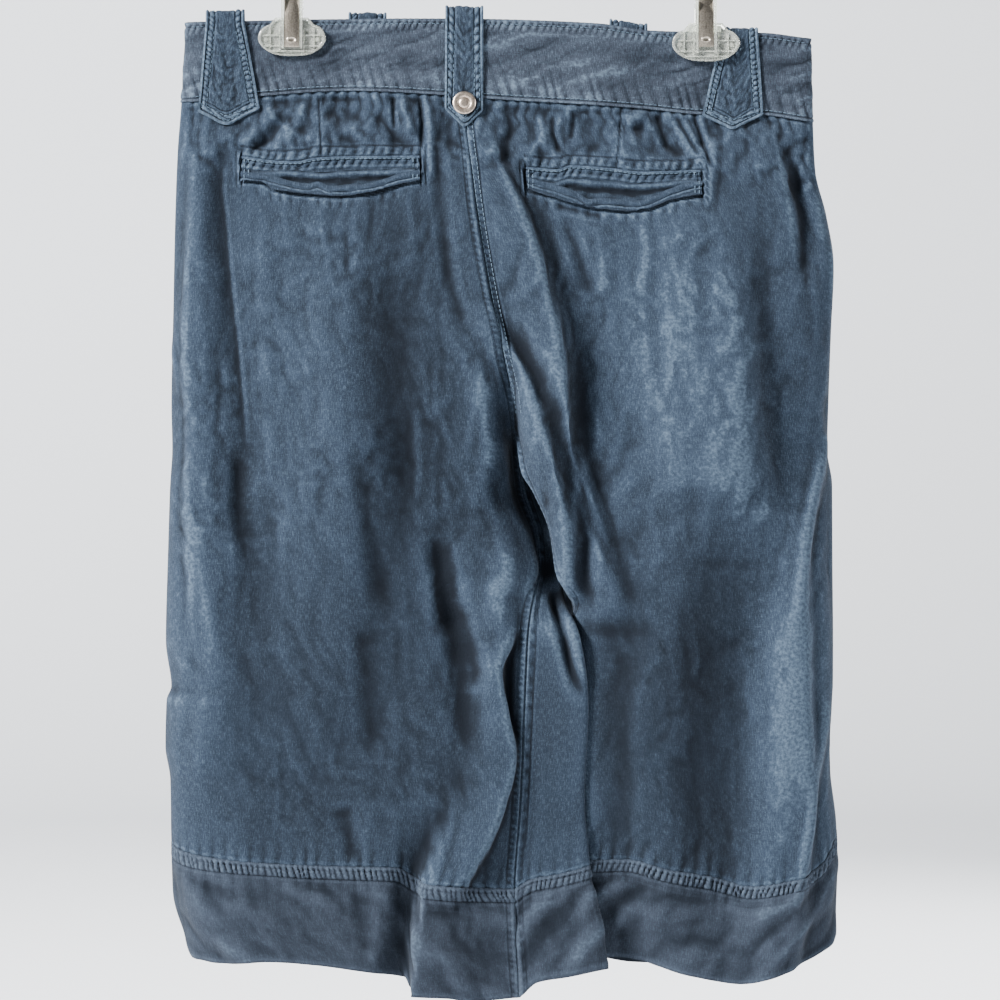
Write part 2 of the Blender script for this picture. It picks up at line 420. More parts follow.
# ---- the hanger ----
# ---- a pad's rim is cut in steps of (size, out); its rails, ribs and posts are boxes of (across,
# ---- across, low, high, near, far) and its bosses are low cones ----
PAD_WIDE, PAD_HIGH, PAD_ROUND = 47.6, 22.0, 10.0
PAD_SHOULDER = ((-15.5, 0.0), (-11.5, 4.8), (11.5, 4.8), (15.5, 0.0))
PAD_RIM = ((0.985, 0.0), (1.0, 0.25), (1.0, 2.95), (0.985, 3.25), (0.955, 3.38), (0.925, 3.25),
           (0.912, 2.9), (0.905, 2.1), (0.89, 1.9))
RAILS = [(min(side * 5.6, side * 7.3), max(side * 5.6, side * 7.3), -16.8, 20.5, 1.0, 5.4)
         for side in (-1, 1)]
RIB_HALF, RIB_NEAR, RIB_FAR = 0.45, 1.7, 2.9
RIBS = [(-half, half, z - RIB_HALF, z + RIB_HALF, RIB_NEAR, RIB_FAR)
        for z, half in ((-7.6, 20.0), (-15.0, 20.0), (-18.6, 15.5))]
POSTS = [(x - RIB_HALF, x + RIB_HALF, low, -2.2, RIB_NEAR, RIB_FAR)
         for x, low in ((-15.4, -16.5), (-8.6, -19.4), (8.6, -19.4), (15.4, -16.5))]
PAD_CORNER = 0.25
BOSS_ACROSS, BOSS_DOWN, BOSS_OUT, BOSS_HIGH, BOSS_FOOT, BOSS_TOP = 18.0, 10.4, 2.4, 1.5, 1.9, 1.3
# ---- a strip's oval is raised in steps of (size, out) ----
STRIP_SHARE, STRIP_CORNER = 0.72, 0.35
OVAL_WIDE, OVAL_TALL, OVAL_UP, OVAL_STEPS = 3.6, 2.0, 5.2, 28
OVAL_RIM = ((1.0, -0.4), (1.0, 0.35), (0.86, 0.55), (0.7, 0.5), (0.6, 0.05), (0.55, 0.0))

# ---- each sheet of cloth: the cut of what shows, width and length and area in metres ----
Cut = namedtuple("Cut", "wide long area rests_on")
BACK_BAND = "back_waistband_cloth"
CUTS = {
    "left_back_panel": Cut(0.300, 0.560, 0.147, (BACK_BAND,)),
    "right_back_panel": Cut(0.300, 0.550, 0.141, (BACK_BAND,)),
    "left_front_panel": Cut(0.330, 0.560, 0.169, ("left_front_waistband_cloth",)),
    "right_front_panel": Cut(0.300, 0.550, 0.133, ("right_front_waistband_cloth",)),
    "left_back_hem": Cut(0.290, 0.075, 0.0213, ("left_back_panel_cloth",)),
    "right_back_hem": Cut(0.280, 0.070, 0.0194, ("right_back_panel_cloth",)),
    "left_front_hem": Cut(0.430, 0.075, 0.031, ("left_front_panel_cloth",)),
    "right_front_hem": Cut(0.290, 0.070, 0.019, ("right_front_panel_cloth",)),
    "back_waistband": Cut(0.450, 0.060, 0.0262, ("left_clip_spring", "right_clip_spring")),
    "left_front_waistband": Cut(0.220, 0.060, 0.012, ("left_clip_spring",)),
    "right_front_waistband": Cut(0.235, 0.060, 0.0139, ("right_clip_spring",)),
    "loop": Cut(0.036, 0.096, 0.0029, (BACK_BAND,)),
    "front_fly": Cut(0.042, 0.110, 0.0042, ("left_front_panel_cloth",)),
}

Patch = namedtuple("Patch", "points u v inner across down")

# ---- the stage ----
LAMP_AIM = (0.0, 0.0, -0.45)
Lamp = namedtuple("Lamp", "name power size place aim")
LAMPS = named(Lamp, (
    ("key_light", "key", 1.2, (-3.9, -2.45, 2.3), (0.0, 0.0, -0.42)),
    ("side_light", "fill", 0.9, (2.2, -0.55, 0.2), LAMP_AIM),
    ("back_light", "fill", 1.4, (0.9, 1.5, 0.5), LAMP_AIM)))
FLOOR_DOWN, FLOOR_HALF, SWEEP_FROM, SWEEP_ROUND, WALL_HIGH = 0.95, 6.0, 3.1, 0.9, 5.0
SENSOR_WIDE = 36.0


# ---- settings ----
def length(name, description, default):
    """A length in metres that a user would change."""
    return bpy.props.FloatProperty(
        name=name, description=description, default=default, unit="LENGTH")


def colour(name, description, default):
    """A colour that a user would change."""
    return bpy.props.FloatVectorProperty(
        name=name, description=description, default=default, subtype="COLOR", size=3, min=0, max=1)


class ClothSettings(bpy.types.PropertyGroup):
    """Sizes of the cloth, its creases and its sewing."""
    leg_cloth: length("Leg Cloth", "Thickness of the leg cloth", 0.0009)
    hem_cloth: length("Hem Cloth", "Thickness of the doubled hem band", 0.0013)
    band_cloth: length("Waistband Cloth", "Thickness of the waistband", 0.0019)
    trim_cloth: length("Trim Cloth", "Thickness of the loops, welts and fly", 0.0011)
    crumple: length("Crumple", "Height of the small creases between the folds", 0.001)
    pucker: length("Pucker", "Height of the puckers along the seams", 0.0009)
    stitch: length("Stitch", "Length of one stitch", 0.0024)
    thread: length("Thread", "Radius of the sewing thread", 0.00028)


class ColourSettings(bpy.types.PropertyGroup):
    """Colours of the cloth, the thread and the hanger."""
    deep: colour("Deep Indigo", "Cloth colour in creases and unworn places",
                 (0.0036, 0.0054, 0.0086))
    middle: colour("Washed Blue", "Cloth colour of the flat places", (0.0150, 0.0229, 0.0374))
    worn: colour("Worn Blue", "Cloth colour on rubbed ridges and edges", (0.125, 0.180, 0.245))
    thread: colour("Thread", "Sewing thread", (0.085, 0.125, 0.17))
    metal: colour("Button Metal", "Pale warm metal of the buttons", (0.66, 0.55, 0.46))
    steel: colour("Clip Steel", "Metal of the hook and the clips' springs", (0.52, 0.46, 0.38))
    plastic: colour("Clear Plastic", "Tint of the bar and the pads", (0.86, 0.89, 0.81))


class StageSettings(bpy.types.PropertyGroup):
    """The camera, the lights and the floor."""
    distance: length("Camera Distance", "From the camera to the hanging plane", 2.6)
    frame_wide: length("Frame Width", "Width seen at the cloth", 0.70)
    centre: bpy.props.FloatVectorProperty(
        name="Frame Centre", description="What the camera looks at",
        default=(0.0014, -0.016, -0.457), subtype="XYZ", unit="LENGTH")
    key: bpy.props.FloatProperty(
        name="Key Light", description="Power of the main light", default=1560.0, unit="POWER")
    fill: bpy.props.FloatProperty(
        name="Fill Light", description="Power of the soft light from the other side",
        default=65.0, unit="POWER")
    sky: bpy.props.FloatProperty(
        name="Room Light", description="Strength of the light from all round", default=0.11)
    floor: colour("Floor", "Colour of the floor and the backdrop", (0.78, 0.80, 0.83))


# ---- curves ----
def monotone(x, y, at):
    """Cubic curve through the points (x, y) with no overshoot, read at `at`."""
    step = np.diff(x)
    slope = np.diff(y) / step
    tangent = np.zeros_like(y)
    same_way = slope[:-1] * slope[1:] > 0
    near, far = 2 * step[1:] + step[:-1], step[1:] + 2 * step[:-1]
    with np.errstate(divide="ignore", invalid="ignore"):
        mean = (near + far) / (near / slope[:-1] + far / slope[1:])
    tangent[1:-1] = np.where(same_way, mean, 0.0)
    tangent[0], tangent[-1] = slope[0], slope[-1]
    at = np.clip(at, x[0], x[-1])
    cell = np.clip(np.searchsorted(x, at, side="right") - 1, 0, len(step) - 1)
    t = (at - x[cell]) / step[cell]
    rise = step[cell] * (tangent[cell] * t * (1 - t) ** 2 - tangent[cell + 1] * t * t * (1 - t))
    return y[cell] * (1 + 2 * t) * (1 - t) ** 2 + y[cell + 1] * t * t * (3 - 2 * t) + rise


def follow(rows, column, at):
    """One column of a table, read against its first column."""
    x, y = (np.array([getattr(row, name) for row in rows], float)
            for name in (rows[0]._fields[0], column))
    return monotone(x, y, at)


def ease(low, high, value):
    """0 below `low`, 1 above `high`, smooth between."""
    t = np.clip((value - low) / (high - low), 0.0, 1.0)
    return t * t * (3 - 2 * t)


def hump(value, centre, width):
    """1 at `centre`, falling off smoothly within about `width`."""
    return np.exp(-((value - centre) / width) ** 2)


def unit(vectors):
    """Rows scaled to length 1."""
    return vectors / np.maximum(np.linalg.norm(vectors, axis=-1, keepdims=True), 1e-9)


def lengths_along(line):
    """How far along a line each of its points is."""
    return np.concatenate([[0.0], np.cumsum(np.linalg.norm(np.diff(line, axis=0), axis=1))])


def spline(points, before, after, steps):
    """Points on a centripetal curve through `points`, with a ghost point beyond each end."""
    whole = np.vstack([before, points, after])
    gaps = np.sqrt(np.linalg.norm(np.diff(whole, axis=0), axis=1))
    knots = np.concatenate([[0.0], np.cumsum(gaps)])
    made = []
    for i in range(1, len(whole) - 2):
        t = np.linspace(knots[i], knots[i + 1], steps, endpoint=False)[:, None]
        k, p = knots[i - 1:i + 3], whole[i - 1:i + 3]
        a = [((k[j + 1] - t) * p[j] + (t - k[j]) * p[j + 1]) / (k[j + 1] - k[j]) for j in range(3)]
        b = [((k[j + 2] - t) * a[j] + (t - k[j]) * a[j + 1]) / (k[j + 2] - k[j]) for j in range(2)]
        made.append(((k[2] - t) * b[0] + (t - k[1]) * b[1]) / (k[2] - k[1]))
    made.append(points[-1][None, :])
    return np.vstack(made)


def refine(grid, row_steps, column_steps):
    """A coarse grid of points made finer along both ways by smooth curves."""
    for steps in (column_steps, row_steps):
        grid = np.array([spline(line, 2 * line[0] - line[1], 2 * line[-1] - line[-2], steps)
                         for line in grid]).swapaxes(0, 1)
    return grid


# ---- repeatable unevenness ----
def lattice(x, y, seed):
    """A repeatable number from 0 to 1 for each lattice corner."""
    mixed = (x * 374761393 + y * 668265263 + seed * 974634777) & 0xFFFFFFFF
    mixed = ((mixed ^ (mixed >> 13)) * 1274126177) & 0xFFFFFFFF
    return ((mixed ^ (mixed >> 16)) & 0xFFFF) / 65535.0


def noise(x, y, seed):
    """Smooth noise of about -1 to 1 with a period of about 1."""
    x, y = np.broadcast_arrays(np.asarray(x, float), np.asarray(y, float))
    ix, iy = np.floor(x).astype(np.int64), np.floor(y).astype(np.int64)
    fx, fy = x - ix, y - iy
    corner = []
    for dy in (0, 1):
        for dx in (0, 1):
            turn = 2 * math.pi * lattice(ix + dx, iy + dy, seed)
            corner.append(np.cos(turn) * (fx - dx) + np.sin(turn) * (fy - dy))
    sx, sy = (f ** 3 * (f * (6 * f - 15) + 10) for f in (fx, fy))
    return 1.5 * ((corner[0] * (1 - sx) + corner[1] * sx) * (1 - sy)
                  + (corner[2] * (1 - sx) + corner[3] * sx) * sy)


def facets(x, y, seed):
    """Flat-sided crumples of about -1 to 1 with a period of about 1."""
    x, y = x + 0.4 * noise(x * 1.1, y * 1.1, seed + 1), y + 0.4 * noise(x * 1.1, y * 1.1, seed + 2)
    ix, iy = np.floor(x).astype(np.int64), np.floor(y).astype(np.int64)
    fx, fy = x - ix, y - iy
    a, b, c, d = (lattice(ix + dx, iy + dy, seed) for dx, dy in ((0, 0), (1, 0), (0, 1), (1, 1)))
    first = a + (b - a) * fx + (c - a) * fy
    second = d + (c - d) * (1 - fx) + (b - d) * (1 - fy)
    return 2 * np.where(fx + fy < 1, first, second) - 1


def puckers(run, beat, seed):
    """0 in the pinches and 1 on the puffs between stitches, unevenly spaced along `run`."""
    warped = run / beat + 0.42 * noise(run / (2.6 * beat), 0.5, seed)
    strength = 0.72 + 0.28 * noise(run / (4.1 * beat), 7.5, seed + 1)
    return (0.5 - 0.5 * np.cos(2 * math.pi * warped)) ** 0.7 * strength


# ---- the garment's form: one level section of one leg ----
def side_name(leg):
    """The word for a leg's side, in tables and at the start of its pieces' names."""
    return "left" if leg == LEFT else "right"


def section_corners(leg, down):
    """Corner points (across, out) of one leg's section: side to inner seam along the back,
    and inner seam to side along the front."""
    at = {name: float(follow(INNER[leg], name, down)) for name in Inner._fields[1:]}
    side = float(follow(OUTLINE, side_name(leg), down))
    back, front = (float(follow(DEPTHS, face, down)) for face in (BACK, FRONT))
    seam = rise = [at["seam"], at["seam_out"]]
    if down <= CROTCH_DOWN:
        seam, rise = ([float(follow(RISES, name, down)) for name in (line, line + "_out")]
                      for line in ("seat", "rise"))
    shoulder, under = at["shoulder"], at["under"]
    inner = under + leg * FRONT_IN
    edge = np.array([at["edge"], at["edge_out"]])
    low = np.array([under, at["under_out"]])
    round_by = np.array([0.0, FOLD_ROUND[leg] * float(ease(*FOLD_GROWS, down))])
    above = edge + FOLD_REACH * unit(rise - edge) + round_by
    below = edge + FOLD_REACH * unit(low - edge) - round_by
    back_points = [[side, 0.0], [side - leg * SIDE_TURN, SIDE_TURN_DEEP * back],
                   [side - leg * SIDE_FULL, SIDE_FULL_DEEP * back]]
    back_points += [[side + share * (shoulder - side), back] for share in BACK_SHARES]
    back_points += [[shoulder, at["shoulder_out"]], seam]
    front_points = [rise, above, edge, below, low,
                    [inner, -FRONT_IN_DEEP * front - (1 - FRONT_IN_DEEP) * abs(at["under_out"])],
                    [inner + FRONT_SHARE * (side - inner), -front],
                    [side - leg * SIDE_FULL, -SIDE_FULL_DEEP * front],
                    [side - leg * SIDE_TURN, -SIDE_TURN_DEEP * front], [side, 0.0]]
    return np.array(back_points), np.array(front_points)


def section(leg, face, down):
    """Dense points (across, out) of a panel's section, from its inner seam to its side seam."""
    back, front = section_corners(leg, down)
    other_back, other_front = section_corners(-leg, down)
    apart = ease(CROTCH_DOWN - LEGS_PART, CROTCH_DOWN, down)
    if face == BACK:
        ghost = other_back[-2] * (1 - apart) + front[2] * apart
        line = spline(back, front[-2], ghost, SMOOTH_STEPS)[::-1]
    else:
        ghost = other_front[2] * (1 - apart) + back[-2] * apart
        line = spline(front, ghost, back[1], SMOOTH_STEPS)
    return raise_folds(pinch(line, down), leg, face, down)


def pinch(line, down):
    """Press the layers together where the clips bite the waistband."""
    press = np.zeros(len(line))
    for across in CLIP_ACROSS:
        press = np.maximum(press, 1 - ease(*CLIP_PRESS, np.abs(line[:, 0] - across)))
    press *= 1 - ease(*CLIP_FADE, down)
    held = np.sign(line[:, 1]) * np.minimum(np.abs(line[:, 1]), CLIP_HALF_GAP)
    line[:, 1] = line[:, 1] * (1 - press) + held * press
    return line


def outward(line, leg, face):
    """Unit normals of a section's points, facing out of the leg."""
    run = unit(np.gradient(line, axis=0, edge_order=2))
    turn = -leg if face == FRONT else leg
    return turn * np.column_stack([-run[:, 1], run[:, 0]])


def raise_folds(line, leg, face, down):
    """Move a section's points out by each fold that crosses its level."""
    normal = outward(line, leg, face)
    begin, full, still, end = SEAM_HOLD_DOWN
    hold = float(ease(begin, full, down) * (1 - ease(still, end, down)))
    free = 1 - hold * (1 - ease(0.0, SEAM_HOLD, np.abs(line[:, 0] - line[0, 0])))
    moved = line.copy()
    for fold in FOLDS:
        level, way, heights = np.array(fold.line, float).T
        runs_on = down >= level[-1] and heights[-1] != 0
        if not (level[0] < down < level[-1] or runs_on):
            continue
        if down > CROTCH_DOWN and fold.leg != leg:
            continue
        height = float(monotone(level, heights, down))
        across = float(monotone(level, way, down))
        facing = normal[:, 1] if fold.face == BACK else -normal[:, 1]
        t = (line[:, 0] - across) / np.where(line[:, 0] < across, fold.left, fold.right)
        bump = 0.5 + 0.5 * np.cos(math.pi * np.clip(t, -1, 1))
        bump = bump * ease(*FOLD_FACING, facing) * free
        moved += normal * (height * bump)[:, None]
        moved[:, 0] += fold.lean * abs(height) / np.abs(heights).max() * bump
    return moved


def drop(leg, face, along, across, down):
    """How much lower than its level a point hangs: the waist's tilt above, the hem's waves
    below."""
    top = follow(WAIST, "top", across)
    seam = follow(WAIST, "seam", across) - BAND_DEEP
    tilt = top + (seam - top) * np.clip(down / BAND_DEEP, 0, 1)
    hem_seam = follow(HEMS[leg, face], "seam", along) - HEM_SEAM_DOWN
    hem_edge = follow(HEMS[leg, face], "edge", along) - HEM_EDGE_DOWN
    low = np.clip((down - HEM_SEAM_DOWN) / (HEM_EDGE_DOWN - HEM_SEAM_DOWN), 0, 1)
    wave = (hem_seam + (hem_edge - hem_seam) * low) * ease(WAVE_START_DOWN, HEM_SEAM_DOWN, down)
    return tilt * (1 - ease(BAND_DEEP, TILT_END_DOWN, down)) + wave


def spaced(bands):
    """Levels from a table of row spacings."""
    made = [np.linspace(start, end, max(2, round((end - start) / step)), endpoint=False)
            for start, end, step in bands]
    return np.concatenate(made + [[bands[-1][1]]])


def cloth_patch(leg, face, bands, counts):
    """A panel's or band's middle surface as a grid of points, with its own measures: u along
    the cloth, kept in step with the side seam, v down from the waist and `inner` from the
    inner seam."""
    turns_back = len(counts) > 1
    grid, inner, hangs = [], [], []
    levels = spaced(bands)
    for level in levels:
        line = section(leg, face, float(level))
        run = lengths_along(line)
        stops = [0.0, run[-1]]
        if turns_back:
            stops[1:1] = run[[SMOOTH_STEPS, 3 * SMOOTH_STEPS, 4 * SMOOTH_STEPS]]
        at = np.concatenate([np.linspace(a, b, n, endpoint=False)
                             for a, b, n in zip(stops, stops[1:], counts)] + [[run[-1]]])
        across, out = (np.interp(at, run, line[:, i]) for i in range(2))
        down = level + drop(leg, face, at / run[-1], across, level)
        grid.append(np.stack([across, -out, -(WAIST_BELOW_HOOK + down)], axis=-1))
        inner.append(at)
        hangs.append(down)
    points, inner = np.array(grid), np.array(inner)
    high, wide = inner.shape
    row, column = np.arange(high)[:, None], np.arange(wide)
    edge = np.minimum(np.minimum(row, high - 1 - row), np.minimum(column, wide - 1 - column))
    points += (blur(blur(points, 1), 1) - points) * np.clip(edge / 3, 0, 1)[..., None]
    share = 1.0
    if turns_back:
        share = np.clip((column - sum(counts[:2])) / counts[2], 0, 1)
    u = inner * (1 - share) + (WIDEST_CUT - (inner[:, -1:] - inner)) * share
    v = np.repeat(levels[:, None], wide, axis=1)
    return Patch(points, u, v, inner, points[..., 0], np.array(hangs))


def leg_patches(bands, counts):
    """Each leg's back and front: the leg, the face, the patch and which way round it is seen."""
    for leg in (LEFT, RIGHT):
        for face in (BACK, FRONT):
            patch = cloth_patch(leg, face, bands[face], counts[leg, face])
            yield leg, face, patch, outer_sign(leg, face)


def normals_of(points, sign):
    """Unit normals of a grid of points."""
    along, down = np.gradient(points, axis=1), np.gradient(points, axis=0)
    return unit(np.cross(along, down)) * sign


def outer_sign(leg, face):
    """Which way round a leg's grid is seen from outside."""
    return -leg if face == BACK else leg


def blur(values, radius):
    """Box blur of a grid over `radius` cells each way, edges repeated."""
    for axis in (0, 1):
        pad = [(0, 0)] * values.ndim
        pad[axis] = (radius + 1, radius)
        total = np.cumsum(np.pad(values, pad, mode="edge"), axis=axis)
        high = np.take(total, range(2 * radius + 1, total.shape[axis]), axis=axis)
        low = np.take(total, range(0, total.shape[axis] - 2 * radius - 1), axis=axis)
        values = (high - low) / (2 * radius + 1)
    return values


# ---- relief: how far the cloth stands off its form. Heights, widths and the beat of puckers
# ---- are in millimetres, and noise is read at places divided by its period ----
def crease_height(crease, across, down):
    """Height of one crease at places seen from its side."""
    line = np.array(crease.line, float)
    wide = max(crease.left, crease.right)
    low, high = line.min(0) - wide, line.max(0) + wide
    near = (across > low[0]) & (across < high[0]) & (down > low[1]) & (down < high[1])
    height = np.zeros_like(across)
    if not near.any():
        return height
    a, d = across[near], down[near]
    best = np.full(a.shape, 1e9)
    along, right_side = np.zeros(a.shape), np.zeros(a.shape, bool)
    lengths = np.linalg.norm(np.diff(line, axis=0), axis=1)
    whole, gone = lengths.sum(), 0.0
    for start, end, length in zip(line, line[1:], lengths):
        run = (end - start) / length
        t = np.clip((a - start[0]) * run[0] + (d - start[1]) * run[1], 0, length)
        da, dd = a - start[0] - t * run[0], d - start[1] - t * run[1]
        away = np.hypot(da, dd)
        closer = away < best
        best = np.where(closer, away, best)
        along = np.where(closer, (gone + t) / whole, along)
        right_side = np.where(closer, run[0] * dd - run[1] * da < 0, right_side)
        gone += length
    t = np.clip(best / np.where(right_side, crease.right, crease.left), 0, 1)
    profile = (1 - crease.sharp) * (0.5 + 0.5 * np.cos(math.pi * t)) + crease.sharp * (
        np.clip(1.1 - np.sqrt(t * t + 0.02), 0, 1) ** 1.4)
    profile = profile * ease(-0.02, 0.22, along) * (1 - ease(0.78, 1.02, along))
    height[near] = crease.height * profile
    return height


def crumple(u, v, seed, amount):
    """Small uneven creases, longer down than across."""
    x, y = u + 7 * noise(u / 60, v / 60, seed + 5), v + 9 * noise(u / 70, v / 45, seed + 6)
    wide = 1.2 * noise(x / 46, y / 95, seed) + 1.9 * facets(x / 27, y / 56, seed + 1)
    fine = 1.4 * facets(x / 12, y / 21, seed + 2) + 0.32 * noise(x / 5, y / 9, seed + 3)
    patchy = 0.6 + 0.5 * noise(u / 80, v / 70, seed + 4)
    return amount * (wide + fine * patchy + 0.05 * noise(x / 3.0, y / 3.6, seed + 7))


def faded(patch, leg, face):
    """Extra wear of the broad faded places, and less of the deep ones."""
    total = np.zeros_like(patch.across)
    for fade in FADES[leg]:
        away = (((patch.across - fade.across) / fade.wide) ** 2
                + ((patch.down - fade.down) / fade.tall) ** 2)
        total += fade.amount * np.exp(-away)
    return total * (1.0 if face == BACK else FRONT_FADE)


def add_creases(height, patch, leg, sign):
    """Add a leg's creases to its relief, each where the cloth faces the crease's own side."""
    facing = -normals_of(patch.points, sign)[..., 1]
    for (face, crease_leg), creases in CREASES.items():
        if crease_leg == leg:
            seen = ease(*CREASE_FACING, facing if face == BACK else -facing)
            for crease in creases:
                height += crease_height(crease, patch.across, patch.down) * seen


def away_from_side(patch):
    """0 at the side seam, where back and front have to meet, and 1 away from it."""
    return ease(0, SIDE_HOLD, patch.inner[:, -1:] - patch.inner)


def panel_relief(patch, leg, face, sign, amount, pucker):
    """How far each place of a leg panel stands off its fold form, in millimetres."""
    u, v = patch.u, patch.v
    seed = SEEDS["panel"] + 20 * (leg > 0) + 40 * (face == FRONT)
    below_band = v - BAND_DEEP
    calm = (0.45 + 0.55 * ease(*CRUMPLE_GROWS, v)) * (1 - 0.45 * ease(*CRUMPLE_CALMS, v))
    if face == FRONT:
        amount, calm = FRONT_CRUMPLE * amount, calm * ease(*INNER_CALM, patch.inner)
    height = blur(crumple(u, v, seed, amount), 1) * calm
    height *= ease(0, 14, patch.inner) * ease(0, 8, below_band)
    add_creases(height, patch, leg, sign)
    gathers = puckers(u + 3 * noise(v / 9, u / 50, seed), 8.5, seed) - 0.5
    height += pucker * 1.7 * gathers * np.exp(-below_band / 13)
    yoke = 1 - ease(*YOKE_ENDS, v)
    pulled = 2.6 * facets(u / 17 + v / 60, v / 22, seed + 8) + 1.5 * facets(u / 8, v / 12, seed + 9)
    height += yoke * amount * 1.2 * blur(pulled, 1) * ease(0, 6, below_band)
    above_hem = puckers(u, 9.5, seed + 3) - 0.5
    height += pucker * 1.1 * above_hem * np.exp(-(HEM_SEAM_DOWN - v) / 8)
    height -= 0.9 * hump(v, BAND_DEEP, 1.6) + 0.8 * hump(v, HEM_SEAM_DOWN, 1.1)
    return height * away_from_side(patch)


def pocket_relief(patch, pucker):
    """The pulled cloth round the pocket frames."""
    height = np.zeros_like(patch.u)
    a, d = patch.across, patch.down
    for spec in POCKETS:
        across, *lines = pocket_lines(spec)
        top, upper_low, lower_top, low = (np.interp(a, across, line) for line in lines)
        inside = (a > spec.left - 2) & (a < spec.right + 2)
        middle = (top + low) / 2
        seed = SEEDS["pocket"] + len(spec.side)
        beat = puckers(a + 0.3 * d, 6.6, seed) - 0.4
        above, under = top - d, d - low
        height += inside * pucker * 1.9 * beat * hump(above, 3.6, 2.9)
        height -= inside * (1.0 * hump(above, 0.2, 0.8) + 0.5 * hump(above, 7.5, 1.0))
        height += inside * pucker * 0.9 * (puckers(a, 9.0, seed + 1) - 0.4) * hump(under, 4.0, 4.0)
        height -= inside * 0.8 * hump(under, 0.4, 1.0)
        height -= inside * 1.6 * ease(-0.5, 2.0, -above) * ease(-0.5, 2.0, -under)
        gap = np.minimum(d - upper_low, lower_top - d)
        height -= inside * 2.8 * ease(0.0, 2.5, gap)
        tall = ease(-4, 0, low - middle - np.abs(d - middle) + 1)
        for end, way in ((spec.left, -1), (spec.right, 1)):
            out = (a - end) * way
            ridge = 0.8 * hump(out, 2.6, 1.1) - 1.3 * hump(out, 0.9, 0.7)
            height += tall * (ridge - 0.6 * hump(out, 4.4, 0.9))
    return height


def seam_relief(u, v, leg, pucker):
    """The ridges and grooves along a panel's inner seam."""
    seed = SEEDS["seam"] + 3 * leg
    beat = puckers(v, 4.6, seed)
    ridge = 1.0 * hump(u, 1.6, 1.2) + pucker * 0.6 * beat * hump(u, 3.2, 1.8)
    groove = -1.1 * hump(u, 0.0, 0.7) - 0.35 * hump(u, 5.4, 0.8)
    return ridge + groove


def hem_relief(u, v, seed, amount, pucker):
    """The stitched ladder under the hem seam, and the soft band below it."""
    below = v - HEM_SEAM_DOWN
    slant = u + (0.3 + 0.3 * noise(u / 12, 0.2, seed + 6)) * below
    beat = puckers(slant, LADDER_BEAT, seed)
    uneven = 0.55 + 0.75 * np.clip(noise(u / 17, 0.4, seed + 7) + 0.5, 0, 1)
    height = ladder(below, 5.6 + 1.4 * noise(u / 9, 0.7, seed + 9))
    height = height * (0.35 + uneven * pucker * LADDER_HIGH * (beat - 0.4))
    height += 0.5 * hump(below, 0.9, 0.8) * (0.3 + 0.9 * puckers(u, 3.6, seed + 2)) * uneven
    height -= (0.55 * hump(below, 2.3, 0.55) * uneven + 0.6 * hump(below, 7.9, 0.8)
               + 0.5 * hump(below, 0, 0.5))
    waves = amount * 3.6 * facets(u / 24 + v / 50, v / 22, seed + 8)
    soft = blur(crumple(u, v, seed, amount * 0.9) + waves, 2) * ease(4, 18, below)
    drawn = pucker * 0.9 * (puckers(u, 10.5, seed + 4) - 0.5)
    drawn *= np.exp(-np.maximum(below - 7, 0) / 9)
    edge = HEM_EDGE_DOWN - v
    return height + soft + drawn * ease(3, 8, below) - 0.5 * hump(edge, 0, 1.0)


def ladder(below, fades_from):
    """1 on the stitched ladder under the hem seam, 0 off it."""
    return ease(*LADDER_STARTS, below) * (1 - ease(fades_from, LADDER_END, below))


def band_relief(u, v, seed, amount, pucker):
    """The waistband: puckered edge stitching at its top and its seam, soft waves between."""
    top = v
    low = BAND_DEEP - v
    upper = puckers(u + 0.5 * v, 4.9, seed) - 0.45
    height = pucker * 1.5 * upper * ease(0.6, 1.8, top) * (1 - ease(4.5, 9.5, top))
    height += 0.35 * hump(top, 1.0, 0.9) - 0.5 * hump(top, 3.4, 0.6)
    lower = puckers(u - 0.3 * v + 4 * noise(u / 40, 0.3, seed + 1), 8.4, seed + 2) - 0.5
    height += pucker * 1.9 * lower * ease(0.5, 4.0, low) * np.exp(-low / 11)
    height += 0.5 * hump(low, 0.7, 0.6) * (0.6 + 0.8 * lower) - 0.6 * hump(low, 2.2, 0.6)
    soft = 0.9 * noise(u / 30, v / 22, seed + 3) + 0.7 * facets(u / 13 + v / 16, v / 10, seed + 4)
    return height + soft * amount * ease(4, 10, top) * ease(4, 10, low)


# ---- meshes ----
def make_mesh(name, points, loops, totals, uvs, wear, finish):
    """One object from arrays: points in metres, each face's corners one after another, a UV in
    metres and a wear value for each point."""
    mesh = bpy.data.meshes.new(name)
    mesh.vertices.add(len(points))
    mesh.vertices.foreach_set("co", np.asarray(points, np.float32).ravel())
    mesh.loops.add(len(loops))
    mesh.loops.foreach_set("vertex_index", np.asarray(loops, np.int32))
    mesh.polygons.add(len(totals))
    starts = np.concatenate([[0], np.cumsum(totals)[:-1]])
    mesh.polygons.foreach_set("loop_start", starts.astype(np.int32))
    mesh.polygons.foreach_set("loop_total", np.asarray(totals, np.int32))
    layer = mesh.uv_layers.new(name="cloth")
    mesh.update(calc_edges=True)
    layer.uv.foreach_set("vector", np.asarray(uvs, np.float32)[loops].ravel())
    made = mesh.attributes.new("wear", "FLOAT", "POINT")
    made.data.foreach_set("value", np.asarray(wear, np.float32))
    mesh.validate()
    return link_piece(name, mesh, finish, CLOTH_SMOOTH)


def link_piece(name, mesh, finish, smooth):
    """Shade a mesh smooth up to its edges, give it its finish and fix it to the body."""
    mesh.shade_smooth()
    mesh.set_sharp_from_angle(angle=math.radians(smooth))
    mesh.materials.append(bpy.data.materials[finish])
    piece = bpy.data.objects.new(name, mesh)
    bpy.context.collection.objects.link(piece)
    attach(piece, BODY)
    return piece


